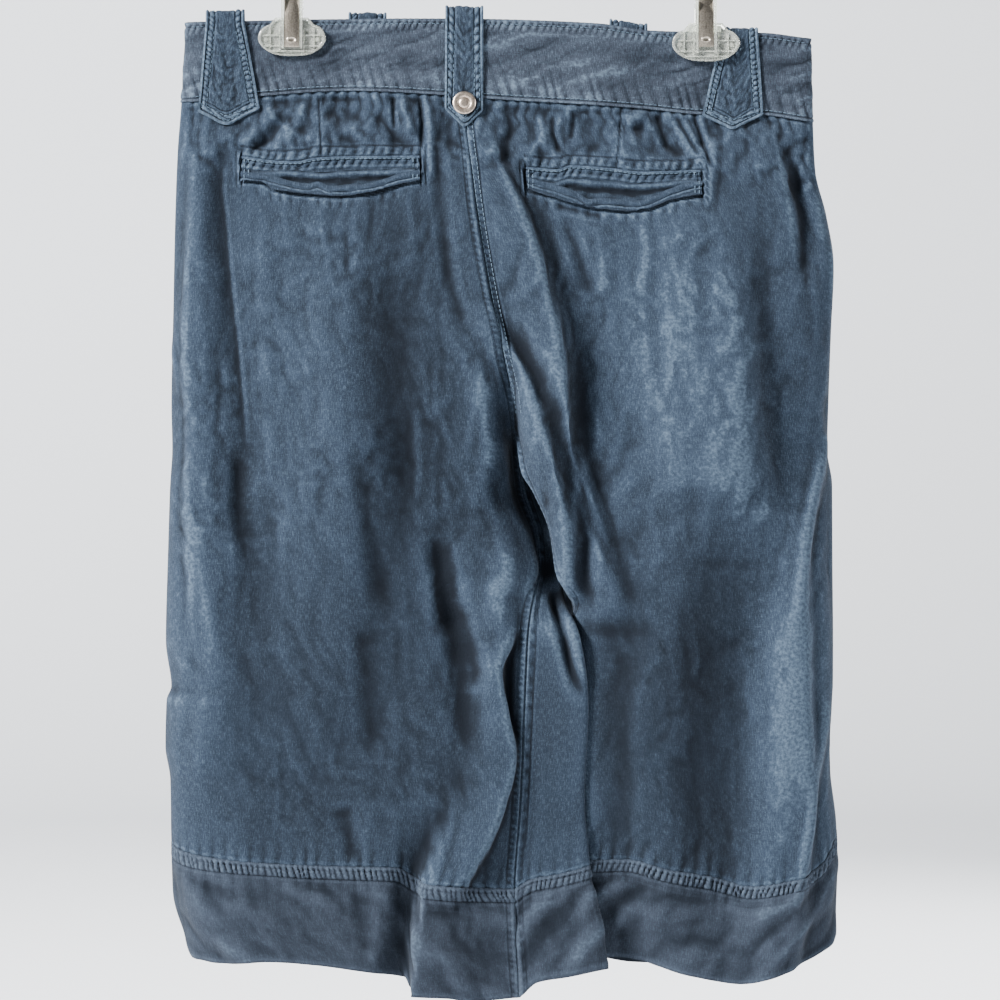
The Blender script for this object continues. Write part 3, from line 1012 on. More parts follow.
def shell(name, outer, inner, uv, wear, finish, flip):
    """A thin closed shell from two grids of points in millimetres; the inner skin takes only
    one row and column in LINING_SKIP."""
    high, wide = outer.shape[:2]
    rows = np.unique(np.append(np.arange(0, high, LINING_SKIP), high - 1))
    cols = np.unique(np.append(np.arange(0, wide, LINING_SKIP), wide - 1))
    lining = inner[rows][:, cols]
    count = high * wide
    points = np.vstack([outer.reshape(-1, 3), lining.reshape(-1, 3)]) * MM
    uvs = np.vstack([uv.reshape(-1, 2), uv[rows][:, cols].reshape(-1, 2)]) * MM
    worn = np.concatenate([wear.ravel(), np.full(len(rows) * len(cols), LINING_WEAR)])

    def quads(height, width, offset, turn):
        j, i = np.meshgrid(np.arange(height - 1), np.arange(width - 1), indexing="ij")
        a = offset + j * width + i
        faces = np.stack([a, a + width, a + width + 1, a + 1], axis=-1).reshape(-1, 4)
        return faces[:, ::-1] if turn else faces

    skins = np.vstack([quads(high, wide, 0, flip), quads(len(rows), len(cols), count, not flip)])
    loops, totals = [skins.ravel()], [np.full(len(skins), 4)]
    places = [(r, c) for r in rows for c in cols]
    inner_at = {place: count + k for k, place in enumerate(places)}
    for stops, key, turn in ((rows, lambda k: (k, 0), False),
                             (rows, lambda k: (k, wide - 1), True),
                             (cols, lambda k: (0, k), True),
                             (cols, lambda k: (high - 1, k), False)):
        for a, b in zip(stops, stops[1:]):
            fine = [key(k)[0] * wide + key(k)[1] for k in range(a, b + 1)]
            face = fine + [inner_at[key(b)], inner_at[key(a)]]
            loops.append(face[::-1] if turn == flip else face)
            totals.append([len(face)])
    return make_mesh(name, points, np.concatenate(loops), np.concatenate(totals), uvs, worn, finish)


def worn_places(points, normal, extra=0.0):
    """Where the cloth stands proud of its surroundings, so that it is rubbed pale: about -1
    in the creases to 1 on the ridges."""
    scales = ((1, 0.12, 0.5), (4, 1.3, 0.3), (14, 7.0, 0.3))
    found = sum(share * np.tanh(np.sum((points - blur(points, cells)) * normal, axis=-1) / size)
                for cells, size, share in scales)
    return np.clip(np.clip(found, -1.0, 1.0) + extra, -1.4, MOST_WEAR)


def raised(name, points, measures, height, sign, thick, finish, extra=0.0):
    """A thin shell over a grid of points that is raised by `height`; `measures` are how far
    along and down the cloth each place is."""
    points = points + normals_of(points, sign) * height[..., None]
    normal = normals_of(points, sign)
    outer, inner = points + normal * thick / 2, points - normal * thick / 2
    wear = worn_places(outer, normal, extra)
    return shell(name + "_cloth", outer, inner, np.stack(measures, axis=-1), wear, finish, sign > 0)


def dress(name, patch, height, sign, thick, finish, extra=0.0):
    """Raise a patch by its relief and make it a thin shell."""
    return raised(name, patch.points, (patch.u, patch.v), height, sign, thick, finish, extra)


def replace_cloth(piece, node):
    """The piece stands for its node and is declared as the sheet that it was cut from."""
    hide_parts(node)
    is_loop = node.endswith("_loop")
    cut = CUTS["loop" if is_loop else node]
    list(cut.rests_on)


# ---- feeling the finished cloth ----
def towards_back(face):
    """1 where the back is felt or dressed, -1 for the front."""
    return 1 if face == BACK else -1


class Skins:
    """The cloth's outer skins, felt from the back or the front."""

    def __init__(self, names):
        graph = bpy.context.evaluated_depsgraph_get()
        self.trees = [BVHTree.FromObject(bpy.data.objects[name], graph) for name in names]

    def feel(self, face, across, down):
        """The place and the normal of the outermost cloth, in millimetres."""
        sign = towards_back(face)
        start = Vector((across * MM, -sign * FEEL_FROM, -(WAIST_BELOW_HOOK + down) * MM))
        best, way = None, None
        for tree in self.trees:
            spot, normal, _, _ = tree.ray_cast(start, Vector((0, sign, 0)))
            if spot is not None and (best is None or sign * spot.y < sign * best.y):
                best, way = spot, normal
        if best is None:
            return None
        way = np.array(way) * (1 if way.y * sign < 0 else -1)
        return np.array(best) / MM, way

    def feel_grid(self, face, across, down):
        """Places under a grid; where there is no cloth, the row's last place is used."""
        across, down = np.broadcast_arrays(across, down)
        out = np.zeros(across.shape)
        for j, (row, levels) in enumerate(zip(across, down)):
            hits = [self.feel(face, *place) for place in zip(row, levels)]
            last = [hit for hit in hits if hit][-1]
            out[j] = [(hit or last)[0][1] for hit in hits]
        return np.stack([across, out, -(WAIST_BELOW_HOOK + down)], axis=-1)


CLOTH_NAMES = [f"{side}_{face}_{kind}_cloth" for side in ("left", "right")
               for face in (BACK, FRONT) for kind in ("panel", "hem")]
CLOTH_NAMES += ["back_waistband_cloth", "left_front_waistband_cloth", "right_front_waistband_cloth"]


def lying(name, skins, face, across, down, lift, relief, steps, thick, extra=0.0):
    """A trim piece that lies on the cloth: a coarse grid of places is felt, smoothed, made finer
    by `steps` and raised by `lift` and by relief(u, v), both in millimetres."""
    base = skins.feel_grid(face, across, down)
    sign = towards_back(face)
    base[..., 1] = np.minimum(base[..., 1] * sign, blur(base[..., 1], 1) * sign) * sign
    points = refine(base, steps, steps)
    measures = grid_measures(points)
    height = lift + relief(*measures)
    return raised(name, points, measures, height, -sign, thick, "leg_denim", extra)


def grid_measures(points):
    """How far along and down each place of a grid is, in millimetres."""
    u = np.cumsum(np.linalg.norm(np.diff(points, axis=1, prepend=points[:, :1]), axis=-1), axis=1)
    v = np.cumsum(np.linalg.norm(np.diff(points, axis=0, prepend=points[:1]), axis=-1), axis=0)
    return u, v


def sew(name, paths, skins, face, lift=0.15):
    """Rows of stitches along paths of (across, down), joined in one mesh."""
    cloth = bpy.context.scene.pants_cloth
    long, radius = cloth.stitch / MM, cloth.thread / MM
    ends = []
    for path in paths:
        line = np.array(path, float)
        run = lengths_along(line)
        count = max(2, int(run[-1] / (long * STITCH_BEAT)))
        at = np.linspace(0, run[-1], count + 1)
        for a, b in zip(at, at[1:]):
            spots = [skins.feel(face, *(np.interp(a + share * (b - a), run, line[:, i])
                                        for i in range(2))) for share in STITCH_ENDS]
            if None not in spots:
                ends.append(spots)
    places = [[a[0] + a[1] * lift, b[0] + b[1] * lift, a[1] + b[1]] for a, b in ends]
    return thread_mesh(name, np.array(places), radius)


def thread_mesh(name, places, radius):
    """Rounded stitches between pairs of places, with the way each faces. A stitch's rings are
    given by how far along they are, their size and how far they are raised."""
    start, end, up = places[:, 0], places[:, 1], unit(places[:, 2])
    side = unit(np.cross(unit(end - start), up))
    corners = STITCH_CORNERS
    points = []
    for share, size, lifted in STITCH_RINGS:
        middle = start + (end - start) * share + up * radius * lifted
        for k in range(corners):
            turn = 2 * math.pi * k / corners
            points.append(middle + (side * math.cos(turn) + up * math.sin(turn)) * radius * size)
    each = len(points)
    points = np.array(points).swapaxes(0, 1).reshape(-1, 3)
    quads = [(r + k, r + (k + 1) % corners, r + corners + (k + 1) % corners, r + corners + k)
             for r in range(0, each - corners, corners) for k in range(corners)]
    caps = [list(range(corners))[::-1], [each - corners + k for k in range(corners)]]
    offsets = (np.arange(len(start)) * each)[:, None, None]
    quads, caps = ((np.array(faces)[None] + offsets).reshape(-1, len(faces[0]))
                   for faces in (quads, caps))
    loops = np.concatenate([quads.ravel(), caps.ravel()])
    totals = np.concatenate([np.full(len(quads), 4), np.full(len(caps), corners)])
    uvs = points[:, [0, 2]] * MM
    return make_mesh(name, points * MM, loops, totals, uvs, np.zeros(len(points)), "thread")


# ---- node groups and materials ----
def new_group(name, inputs, outputs):
    """An empty shader node group with named sockets, and its input and output nodes."""
    group = bpy.data.node_groups.new(name, "ShaderNodeTree")
    for label, kind, value in inputs:
        socket = group.interface.new_socket(name=label, in_out="INPUT", socket_type=kind)
        if value is not None:
            socket.default_value = value
    for label, kind in outputs:
        group.interface.new_socket(name=label, in_out="OUTPUT", socket_type=kind)
    return group, group.nodes.new("NodeGroupInput"), group.nodes.new("NodeGroupOutput")


class Wires:
    """Short ways to place and link nodes in one tree."""

    def __init__(self, tree):
        self.tree = tree

    def node(self, kind, inputs=(), **values):
        """A node with its properties set, and its inputs linked or set by name or number."""
        made = self.tree.nodes.new(kind)
        for key, value in values.items():
            setattr(made, key, value)
        for key, source in inputs:
            self.link(source, made.inputs[key])
        return made

    def link(self, source, target):
        """A socket, or a plain value, into a socket."""
        if isinstance(source, bpy.types.NodeSocket):
            self.tree.links.new(source, target)
        else:
            target.default_value = source

    def math(self, operation, a, b, clamp=False):
        """One Math node."""
        return self.node("ShaderNodeMath", ((0, a), (1, b)), operation=operation,
                         use_clamp=clamp).outputs[0]

    def total(self, *shares):
        """The sum of values, each times its share."""
        first, *others = [self.math("MULTIPLY", value, share) for value, share in shares]
        for other in others:
            first = self.math("ADD", first, other)
        return first

    def mix(self, factor, a, b):
        """One colour Mix node."""
        return self.node("ShaderNodeMix", (("Factor", factor), ("A", a), ("B", b)),
                         data_type="RGBA").outputs["Result"]

    def noise(self, vector, stretch, detail=3.0, rough=0.6):
        """Noise of a vector that is first stretched along each way."""
        long = self.node("ShaderNodeVectorMath", ((0, vector), (1, stretch)), operation="MULTIPLY")
        return self.node("ShaderNodeTexNoise", (
            ("Vector", long.outputs["Vector"]), ("Scale", 1.0), ("Detail", detail),
            ("Roughness", rough))).outputs["Fac"]

    def ramp(self, value, low, high):
        """A value eased from 0 at `low` to 1 at `high`."""
        return self.node("ShaderNodeMapRange", (
            ("Value", value), ("From Min", low), ("From Max", high)),
            interpolation_type="SMOOTHSTEP").outputs["Result"]

    def bump(self, height, strength, distance, shader):
        """Surface relief for a shader."""
        made = self.node("ShaderNodeBump", (
            ("Strength", strength), ("Distance", distance), ("Height", height)))
        self.link(made.outputs["Normal"], shader.inputs["Normal"])


def weave_group():
    """Linen weave: crossing threads with thick and thin slubs. The vector is in metres."""
    group, ins, outs = new_group(
        "Linen Weave", [("Vector", "NodeSocketVector", None)],
        [("Height", "NodeSocketFloat"), ("Slub", "NodeSocketFloat"), ("Thread", "NodeSocketFloat")])
    w = Wires(group)
    vector = ins.outputs["Vector"]
    threads = [w.noise(vector, stretch, 2.0)
               for stretch in ((1500.0, 260.0, 1.0), (260.0, 1500.0, 1.0))]
    slubs = [w.ramp(w.noise(vector, stretch, 2.0, 0.55), 0.5, 0.8)
             for stretch in ((190.0, 1300.0, 1.0), (1200.0, 150.0, 1.0))]
    warp = w.math("MAXIMUM", *threads)
    heather = w.total((threads[0], 0.75), (threads[1], 0.25))
    grain = w.noise(vector, (1700.0, 1700.0, 1.0), 2.0, 0.7)
    slub = w.total((slubs[0], 0.55), (slubs[1], 0.5))
    w.link(w.total((warp, 1.1), (slub, 0.5), (grain, 0.35)), outs.inputs["Height"])
    w.link(slub, outs.inputs["Slub"])
    w.link(w.total((heather, 0.65), (grain, 0.35)), outs.inputs["Thread"])
    return group


def wash_group():
    """Washed indigo: deep in the creases, pale where it rubs, patchy between."""
    group, ins, outs = new_group(
        "Indigo Wash",
        [("Vector", "NodeSocketVector", None), ("Wear", "NodeSocketFloat", 0.0),
         ("Slub", "NodeSocketFloat", 0.0), ("Thread", "NodeSocketFloat", 0.5),
         ("Deep", "NodeSocketColor", (0.02, 0.04, 0.07, 1)),
         ("Middle", "NodeSocketColor", (0.05, 0.09, 0.15, 1)),
         ("Worn", "NodeSocketColor", (0.2, 0.3, 0.4, 1)), ("Rub", "NodeSocketFloat", 0.6)],
        [("Color", "NodeSocketColor"), ("Worn Mask", "NodeSocketFloat")])
    w = Wires(group)
    vector, wear, rub = (ins.outputs[name] for name in ("Vector", "Wear", "Rub"))
    patch = w.noise(vector, (16.0, 11.0, 1.0))
    streak = w.noise(vector, (150.0, 26.0, 1.0))
    speck = w.noise(vector, (420.0, 420.0, 1.0), 2.0)
    tone = w.total((patch, 0.36), (streak, 0.26), (speck, 0.2), (wear, 0.6))
    base = w.mix(w.ramp(tone, -0.06, 0.85), ins.outputs["Deep"], ins.outputs["Middle"])
    rubbed = w.ramp(w.math("ADD", wear, w.math("MULTIPLY", speck, 0.9)), 0.8, 1.75)
    lifted = w.total((ins.outputs["Slub"], 0.14), (w.ramp(ins.outputs["Thread"], 0.46, 0.66), 0.24))
    lifted = w.math("MULTIPLY", lifted, w.ramp(wear, -0.9, 0.6))
    lifted = w.math("MULTIPLY", lifted, w.math("MULTIPLY", rub, 1.6))
    mask = w.math("MAXIMUM", w.math("MULTIPLY", rubbed, rub), lifted, clamp=True)
    w.link(w.mix(mask, base, ins.outputs["Worn"]), outs.inputs["Color"])
    w.link(mask, outs.inputs["Worn Mask"])
    return group


def new_material(name):
    """The node tree and the Principled BSDF of a new material."""
    made = bpy.data.materials.new(name)
    made.use_nodes = True
    return Wires(made.node_tree), made.node_tree.nodes["Principled BSDF"]


def cloth_material(name, groups, colours, rub, bump):
    """A washed linen denim, from the weave and the wash and its three colours."""
    w, shader = new_material(name)
    uv = w.node("ShaderNodeUVMap", uv_map="cloth").outputs["UV"]
    wear = w.node("ShaderNodeAttribute", attribute_name="wear").outputs["Fac"]
    threads = w.node("ShaderNodeGroup", node_tree=groups[0])
    w.link(uv, threads.inputs["Vector"])
    dyed = w.node("ShaderNodeGroup", node_tree=groups[1])
    for label, source in (("Vector", uv), ("Wear", wear), ("Slub", threads.outputs["Slub"]),
                          ("Thread", threads.outputs["Thread"]), ("Rub", rub)):
        w.link(source, dyed.inputs[label])
    for label, colour in zip(("Deep", "Middle", "Worn"), colours):
        dyed.inputs[label].default_value = (*colour, 1)
    w.link(dyed.outputs["Color"], shader.inputs["Base Color"])
    w.link(w.math("SUBTRACT", 0.96, w.math("MULTIPLY", dyed.outputs["Worn Mask"], 0.14)),
           shader.inputs["Roughness"])
    w.bump(threads.outputs["Height"], bump, 0.0009, shader)
    shader.inputs["Specular IOR Level"].default_value = 0.1
    shader.inputs["Sheen Weight"].default_value = 0.02
    shader.inputs["Sheen Roughness"].default_value = 0.5


def clouded(w, shader, place, stretch, colour, dull):
    """A base colour that wavers between the colour and a duller one; puts out the waver."""
    cloud = w.noise(place, stretch)
    darker = tuple(c * dull for c in colour)
    w.link(w.mix(w.ramp(cloud, 0.3, 0.7), (*darker, 1), (*colour, 1)), shader.inputs["Base Color"])
    return cloud


def metal_material(name, colour, rough, scratch):
    """A dull brushed metal with fine scratches and small dents."""
    w, shader = new_material(name)
    place = w.node("ShaderNodeTexCoord").outputs["Object"]
    brushed = w.noise(place, scratch)
    clouded(w, shader, place, (900.0, 900.0, 900.0), colour, 0.55)
    w.link(w.math("ADD", rough, w.math("MULTIPLY", brushed, 0.22)), shader.inputs["Roughness"])
    shader.inputs["Metallic"].default_value = 1.0
    w.bump(brushed, 0.25, 0.0002, shader)


def plastic_material(name, colour):
    """Clear moulded plastic, faintly clouded and scuffed."""
    w, shader = new_material(name)
    place = w.node("ShaderNodeTexCoord").outputs["Object"]
    cloud = clouded(w, shader, place, (160.0, 160.0, 160.0), colour, 0.82)
    scuff = w.noise(place, (700.0, 700.0, 250.0), rough=0.65)
    w.link(w.math("ADD", 0.08, w.math("MULTIPLY", w.ramp(scuff, 0.45, 0.8), 0.3)),
           shader.inputs["Roughness"])
    shader.inputs["Transmission Weight"].default_value = 0.8
    shader.inputs["IOR"].default_value = 1.46
    w.bump(cloud, 0.2, 0.0004, shader)


# ---- operators ----
class PANTS_OT_materials(bpy.types.Operator):
    """Make the node groups and the finishes."""
    bl_idname = "pants.materials"
    bl_label = "Finishes"

    def execute(self, context):
        colours = context.scene.pants_colours
        groups = weave_group(), wash_group()
        deep, middle, worn = (tuple(c) for c in (colours.deep, colours.middle, colours.worn))
        thread = tuple(colours.thread)
        for name, dark, dark_times, mid, mid_times, rub, bump in (
                ("leg_denim", deep, 1, middle, (1, 1, 1), 0.62, 0.5),
                ("band_linen", deep, 1.3, middle, (1.5, 1.2, 1.04), 0.85, 0.55),
                ("hem_linen", deep, 1.15, middle, (1.3, 1.1, 0.98), 0.38, 0.5),
                ("loop_linen", deep, 1, middle, (1, 1, 1), 1.0, 0.6),
                ("thread", thread, 0.6, thread, (1, 1, 1), 0.5, 0.2)):
            dyes = ([c * dark_times for c in dark], [c * f for c, f in zip(mid, mid_times)], worn)
            cloth_material(name, groups, dyes, rub, bump)
        metal_material("button_silver", tuple(colours.metal), 0.24, (1200.0, 200.0, 1200.0))
        metal_material("brushed_steel", tuple(colours.steel), 0.2, (2500.0, 300.0, 120.0))
        plastic_material("moulded_plastic", tuple(colours.plastic))
        return {"FINISHED"}


class PANTS_OT_legs(bpy.types.Operator):
    """Make the four leg panels, from the waist seam to the hem seam."""
    bl_idname = "pants.legs"
    bl_label = "Leg Panels"

    def execute(self, context):
        cloth = context.scene.pants_cloth
        amount, pucker = cloth.crumple / MM, cloth.pucker / MM
        for leg, face, patch, sign in leg_patches(PANEL_ROWS, PANEL_COLUMNS):
            height = panel_relief(patch, leg, face, sign, amount, pucker)
            height += seam_relief(patch.inner, patch.v, leg, pucker)
            if face == BACK:
                height += pocket_relief(patch, pucker)
            dress(f"{side_name(leg)}_{face}_panel", patch, height, sign, cloth.leg_cloth / MM,
                  "leg_denim", faded(patch, leg, face))
        return {"FINISHED"}


class PANTS_OT_hems(bpy.types.Operator):
    """Make the four hem bands with their puckered seams."""
    bl_idname = "pants.hems"
    bl_label = "Hem Bands"

    def execute(self, context):
        cloth = context.scene.pants_cloth
        amount, pucker = cloth.crumple / MM, cloth.pucker / MM
        for leg, face, patch, sign in leg_patches(HEM_ROWS, HEM_COLUMNS):
            seed = SEEDS["hem"] + 10 * (leg > 0) + 20 * (face == FRONT)
            height = hem_relief(patch.u, patch.v, seed, amount, pucker)
            add_creases(height, patch, leg, sign)
            height += 0.7 * seam_relief(patch.inner, patch.v, leg, pucker)
            height *= away_from_side(patch)
            wear = 0.4 * faded(patch, leg, face) + 0.15 * ladder(patch.v - HEM_SEAM_DOWN, 6.4)
            name = f"{side_name(leg)}_{face}_hem"
            piece = dress(name, patch, height, sign, cloth.hem_cloth / MM, "hem_linen", wear)
            replace_cloth(piece, name)
        return {"FINISHED"}


class PANTS_OT_waistband(bpy.types.Operator):
    """Make the back waistband and the two front ones."""
    bl_idname = "pants.waistband"
    bl_label = "Waistband"

    def execute(self, context):
        cloth = context.scene.pants_cloth
        amount, pucker, thick = cloth.crumple / MM, cloth.pucker / MM, cloth.band_cloth / MM
        halves = {(leg, face): (patch, sign)
                  for leg, face, patch, sign in leg_patches(BAND_ROWS, BAND_COLUMNS)}
        left, right = (halves[leg, BACK][0] for leg in (LEFT, RIGHT))
        joined = [np.concatenate([a[:, :0:-1], b], axis=1) for a, b in zip(left, right)]
        joined[1] = np.concatenate([-left.inner[:, :0:-1], right.inner], axis=1)
        whole = Patch(*joined)
        streaks = 0.5 * noise(whole.u / 26 + whole.v / 12, whole.v / 13, SEEDS["streaks"])
        streaks += 0.3 * hump(whole.u, 55, 75)
        front_seed = SEEDS["front_band"]
        for name, (patch, sign), seed, wear in (
                ("back_waistband", (whole, -1), SEEDS["band"], streaks),
                ("left_front_waistband", halves[LEFT, FRONT], front_seed + LEFT, 0.0),
                ("right_front_waistband", halves[RIGHT, FRONT], front_seed + RIGHT, 0.0)):
            height = band_relief(patch.u, patch.v, seed, amount, pucker)
            replace_cloth(dress(name, patch, height, sign, thick, "band_linen", wear), name)
        return {"FINISHED"}


def loop_points(spec, skins, thick):
    """A belt loop's grid: its pointed tip lies below the waist seam, its sides run up the band
    and it turns over the band's top."""
    share = np.linspace(0, 1, LOOP_CELLS)
    tip_share = (spec.tip_across - spec.low_left) / (spec.low_right - spec.low_left)
    peak = np.clip(1 - abs(share - tip_share) / LOOP_POINT, 0, 1)
    point = spec.low + (spec.tip - spec.low) * peak
    across, down = [], []
    for t in LOOP_RISE:
        left = spec.low_left + (spec.top_left - spec.low_left) * t
        right = spec.low_right + (spec.top_right - spec.low_right) * t
        across.append(left + (right - left) * share)
        edge = follow(WAIST, "top", across[-1]) + LOOP_TOP_BELOW_EDGE
        down.append(point * (1 - t) + edge * t)
    base = skins.feel_grid(spec.face, np.array(across), np.array(down))
    sign = towards_back(spec.face)
    depth = base[..., 1] * sign
    lift = LOOP_LIFT + thick / 2
    base[..., 1] = np.minimum(blur(blur(depth, 1), 1), depth + LOOP_SLACK) * sign
    base[..., 1] -= sign * lift
    rows = list(base)
    reach = lift + BAND_CLOTH / 2 + LOOP_SLACK
    for angle in LOOP_TURNS:
        turn = math.radians(angle)
        over = (0, sign * reach * (1 - math.cos(turn)),
                (spec.rise + LOOP_TOP_BELOW_EDGE) * math.sin(turn))
        rows.append(base[-1] + over)
    return refine(np.array(rows), 6, 5)


def loop_piece(spec, skins, thick):
    """A belt loop with stitched edges, puffs beside the stitches and a bar across its foot."""
    points = loop_points(spec, skins, thick)
    u, v = grid_measures(points)
    seed = SEEDS["loop"] + round(abs(spec.tip))
    edge = np.minimum(np.minimum(u, u[:, -1:] - u), v * 0.86)
    beat = puckers(v + 0.3 * u, spec.beat, seed + (1 if spec.tip_across > 0 else 0))
    height = 0.8 * hump(edge, 0.7, 0.6) - 1.05 * hump(edge, 2.1, 0.6)
    height += 2.1 * (beat - 0.4) * hump(edge, 4.0, 1.4) + 0.25 * hump(edge, 4.0, 1.5)
    height -= 1.0 * hump(edge, 6.1, 0.6)
    rough = 0.9 * facets(u / 7, v / 10, seed + 3) + 0.35 * noise(u / 3.5, v / 4, seed + 4)
    height += ease(6, 9, edge) * rough
    bar = CLOSE_LOOP_BAR if spec.beat < CLOSE_BEAT else LOOP_BAR
    height -= 0.6 * hump(v, bar, 0.7) * ease(1, 3, edge)
    height += 0.8 * (puckers(u, 6.5, seed + 6) - 0.3) * hump(v, bar - 4, 2.6) * ease(2, 4, edge)
    wear = 0.4 * hump(edge, 0.6, 0.9) - 0.3 * hump(edge, 2.2, 0.7)
    replace_cloth(raised(spec.name, points, (u, v), height, towards_back(spec.face), thick,
                         "loop_linen", wear), spec.name)


class PANTS_OT_loops(bpy.types.Operator):
    """Make the five belt loops."""
    bl_idname = "pants.loops"
    bl_label = "Belt Loops"

    def execute(self, context):
        skins = Skins(CLOTH_NAMES)
        for spec in LOOPS:
            loop_piece(spec, skins, context.scene.pants_cloth.trim_cloth / MM)
        return {"FINISHED"}


def pocket_lines(spec):
    """The places along a pocket's mouth: across, top, upper welt's low edge, and the lower
    welt's two edges."""
    across = np.linspace(spec.left, spec.right, POCKET_CELLS)
    return across, *(monotone(*np.array(line, float).T, across) for line in spec[3:])


def facing_relief(u, v, seed):
    """The cloth that shows in a pocket's mouth."""
    return (2.6 * hump(v, 5.5, 3.0) + 0.7 * noise(u / 9, v / 5, seed)
            + 0.5 * facets(u / 12, v / 5, seed + 1))


def upper_welt_relief(u, v, seed):
    """A stitched roll, drawn up in puffs."""
    beat = puckers(u + 0.4 * v, 6.2, seed + 2)
    roll = 0.8 * hump(v, 7.0, 1.2) + 0.75 * hump(v, 0.7, 0.7) - 0.8 * hump(v, 2.1, 0.55)
    return roll + 2.2 * (beat - 0.5) * hump(v, 4.8, 2.6) + 0.3 * noise(u / 9, v / 4, seed)


def lower_welt_relief(u, v, seed):
    """A soft sagging roll, twisted here and there."""
    twist = noise(u / 15 + v / 9, v / 11, seed + 5)
    roll = 1.5 * hump(v, 2.2, 2.4) + 0.9 * hump(v, 6.4, 0.8) - 0.7 * hump(v, 5.0, 0.7)
    return roll * (0.8 + 0.5 * twist) + 0.9 * facets(u / 15 - v / 7, v / 8, seed + 6)


class PANTS_OT_pockets(bpy.types.Operator):
    """Make the two back welt pockets: facing, upper welt and sagging lower welt."""
    bl_idname = "pants.pockets"
    bl_label = "Welt Pockets"

    def execute(self, context):
        thick = context.scene.pants_cloth.trim_cloth / MM
        skins = Skins(CLOTH_NAMES)
        made = {}
        for spec in POCKETS:
            across, top, upper_low, lower_top, low = pocket_lines(spec)
            mouth, foot = upper_low[1:-1], low[1:-1] - 1.5
            behind = [mouth - 3] + [mouth + (foot - mouth) * share for share in FACING_SHARES]
            upper, lower = ([start + (end - start) * share for share in WELT_SHARES]
                            for start, end in ((top, upper_low), (lower_top, low)))
            made[spec.side] = []
            for part, along, rows, lift, relief, steps, cloth, wear in (
                    ("pocket_facing", across[1:-1], np.minimum(behind, foot), 0.5, facing_relief,
                     4, 0.8, -0.05),
                    ("upper_welt", across, upper, 0.9, upper_welt_relief, 6, thick, 0.12),
                    ("lower_welt", across, lower, 2.4, lower_welt_relief, 6, thick, 0.1)):
                node = f"{spec.side}_{part}"
                piece = lying(
                    node, skins, BACK, along, np.array(rows), lift,
                    lambda u, v: relief(u, v, POCKET_SEEDS[spec.side]), steps, cloth, wear)
                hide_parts(node)
                made[spec.side].append(piece)
        for side, trims in made.items():
            replace_cloth(bpy.data.objects[side + "_back_panel_cloth"], side + "_back_panel")
        for side in ("left", "right"):
            replace_cloth(bpy.data.objects[side + "_front_panel_cloth"], side + "_front_panel")
        return {"FINISHED"}


def fly_relief(u, v):
    """A raised edge on either side and a soft middle."""
    from_seam = u[:, -1:] - u
    return (0.6 * hump(from_seam, 1.0, 0.9) - 0.4 * hump(from_seam, 3.0, 0.7)
            + 0.5 * hump(u, 1.0, 0.9) + 0.3 * noise(u / 12, v / 16, SEEDS["fly"]))


class PANTS_OT_fly(bpy.types.Operator):
    """Make the plain fly over the front opening."""
    bl_idname = "pants.fly"
    bl_label = "Front Fly"

    def execute(self, context):
        across, down = [], []
        for t in np.linspace(0, 1, FLY_ROWS):
            row = FLY_TOP + (FLY_LOW - FLY_TOP) * t
            seam = float(follow(RISES, "rise", row)) - FLY_BEFORE_SEAM
            turned_in = (max(0.0, t - FLY_TURN) / (1 - FLY_TURN)) ** 2
            left = FLY_LEFT + (seam - FLY_END_WIDE - FLY_LEFT) * turned_in
            across.append(np.linspace(left, seam, FLY_CELLS))
            down.append(np.full(FLY_CELLS, row))
        piece = lying("front_fly", Skins(CLOTH_NAMES), FRONT, np.array(across), np.array(down), 1.2,
                      fly_relief, 6, context.scene.pants_cloth.trim_cloth / MM)
        replace_cloth(piece, "front_fly")
        return {"FINISHED"}


class PANTS_OT_stitches(bpy.types.Operator):
    """Sew the rows of stitches along the seams, the waistband, the pockets and the loops."""
    bl_idname = "pants.stitches"
    bl_label = "Stitches"

    def execute(self, context):
        cloth = Skins(CLOTH_NAMES)
        trims = [f"{s}_{w}_welt_cloth" for s in ("left", "right") for w in ("upper", "lower")]
        over = Skins(CLOTH_NAMES + trims + [spec.name + "_cloth" for spec in LOOPS])
        across = np.linspace(-BAND_STITCHES_REACH, BAND_STITCHES_REACH, 200)
        band = [np.column_stack([across, follow(WAIST, edge, across) + inset])
                for edge, inset in (("top", BAND_TOP_INSET), ("seam", -BAND_LOW_INSET))]
        down = np.linspace(SEAM_STITCHES_FROM, SEAM_STITCHES_TO, 90)
        seat, rise = ([np.column_stack([follow(RISES, line, down) + out, down]) for out in outs]
                      for line, outs in SEAM_STITCHES.items())
        for name, rows, face in (
                ("back_waistband", band, BACK), ("front_waistband", band, FRONT),
                ("seat_seam", seat, BACK), ("rise_seam", rise, FRONT)):
            sew(name + "_stitches", rows, cloth, face)
        for spec in POCKETS:
            x, top, _, _, low = pocket_lines(spec)
            rows = [np.column_stack([x[1:-1], top[1:-1] + POCKET_STITCHES_DOWN])]
            rows += [[(x[end] + inset, top[end] + POCKET_STITCHES_END),
                      (x[end] + inset, low[end] - POCKET_STITCHES_END)]
                     for end, inset in POCKET_STITCHES]
            sew(spec.side + "_pocket_stitches", rows, over, BACK, TRIM_STITCHES_LIFT)
        for spec in LOOPS:
            rows = []
            for inset in LOOP_INSETS:
                left, right = ((spec.low_left + inset, spec.low - 1.0),
                               (spec.low_right - inset, spec.low - 1.0))
                rows += [[left, (spec.top_left + inset, LOOP_STITCHES_TOP)],
                         [right, (spec.top_right - inset, LOOP_STITCHES_TOP)],
                         [left, (spec.tip_across, spec.tip - inset - 1.0), right]]
            sew(spec.name + "_stitches", rows, over, spec.face, TRIM_STITCHES_LIFT)
        return {"FINISHED"}


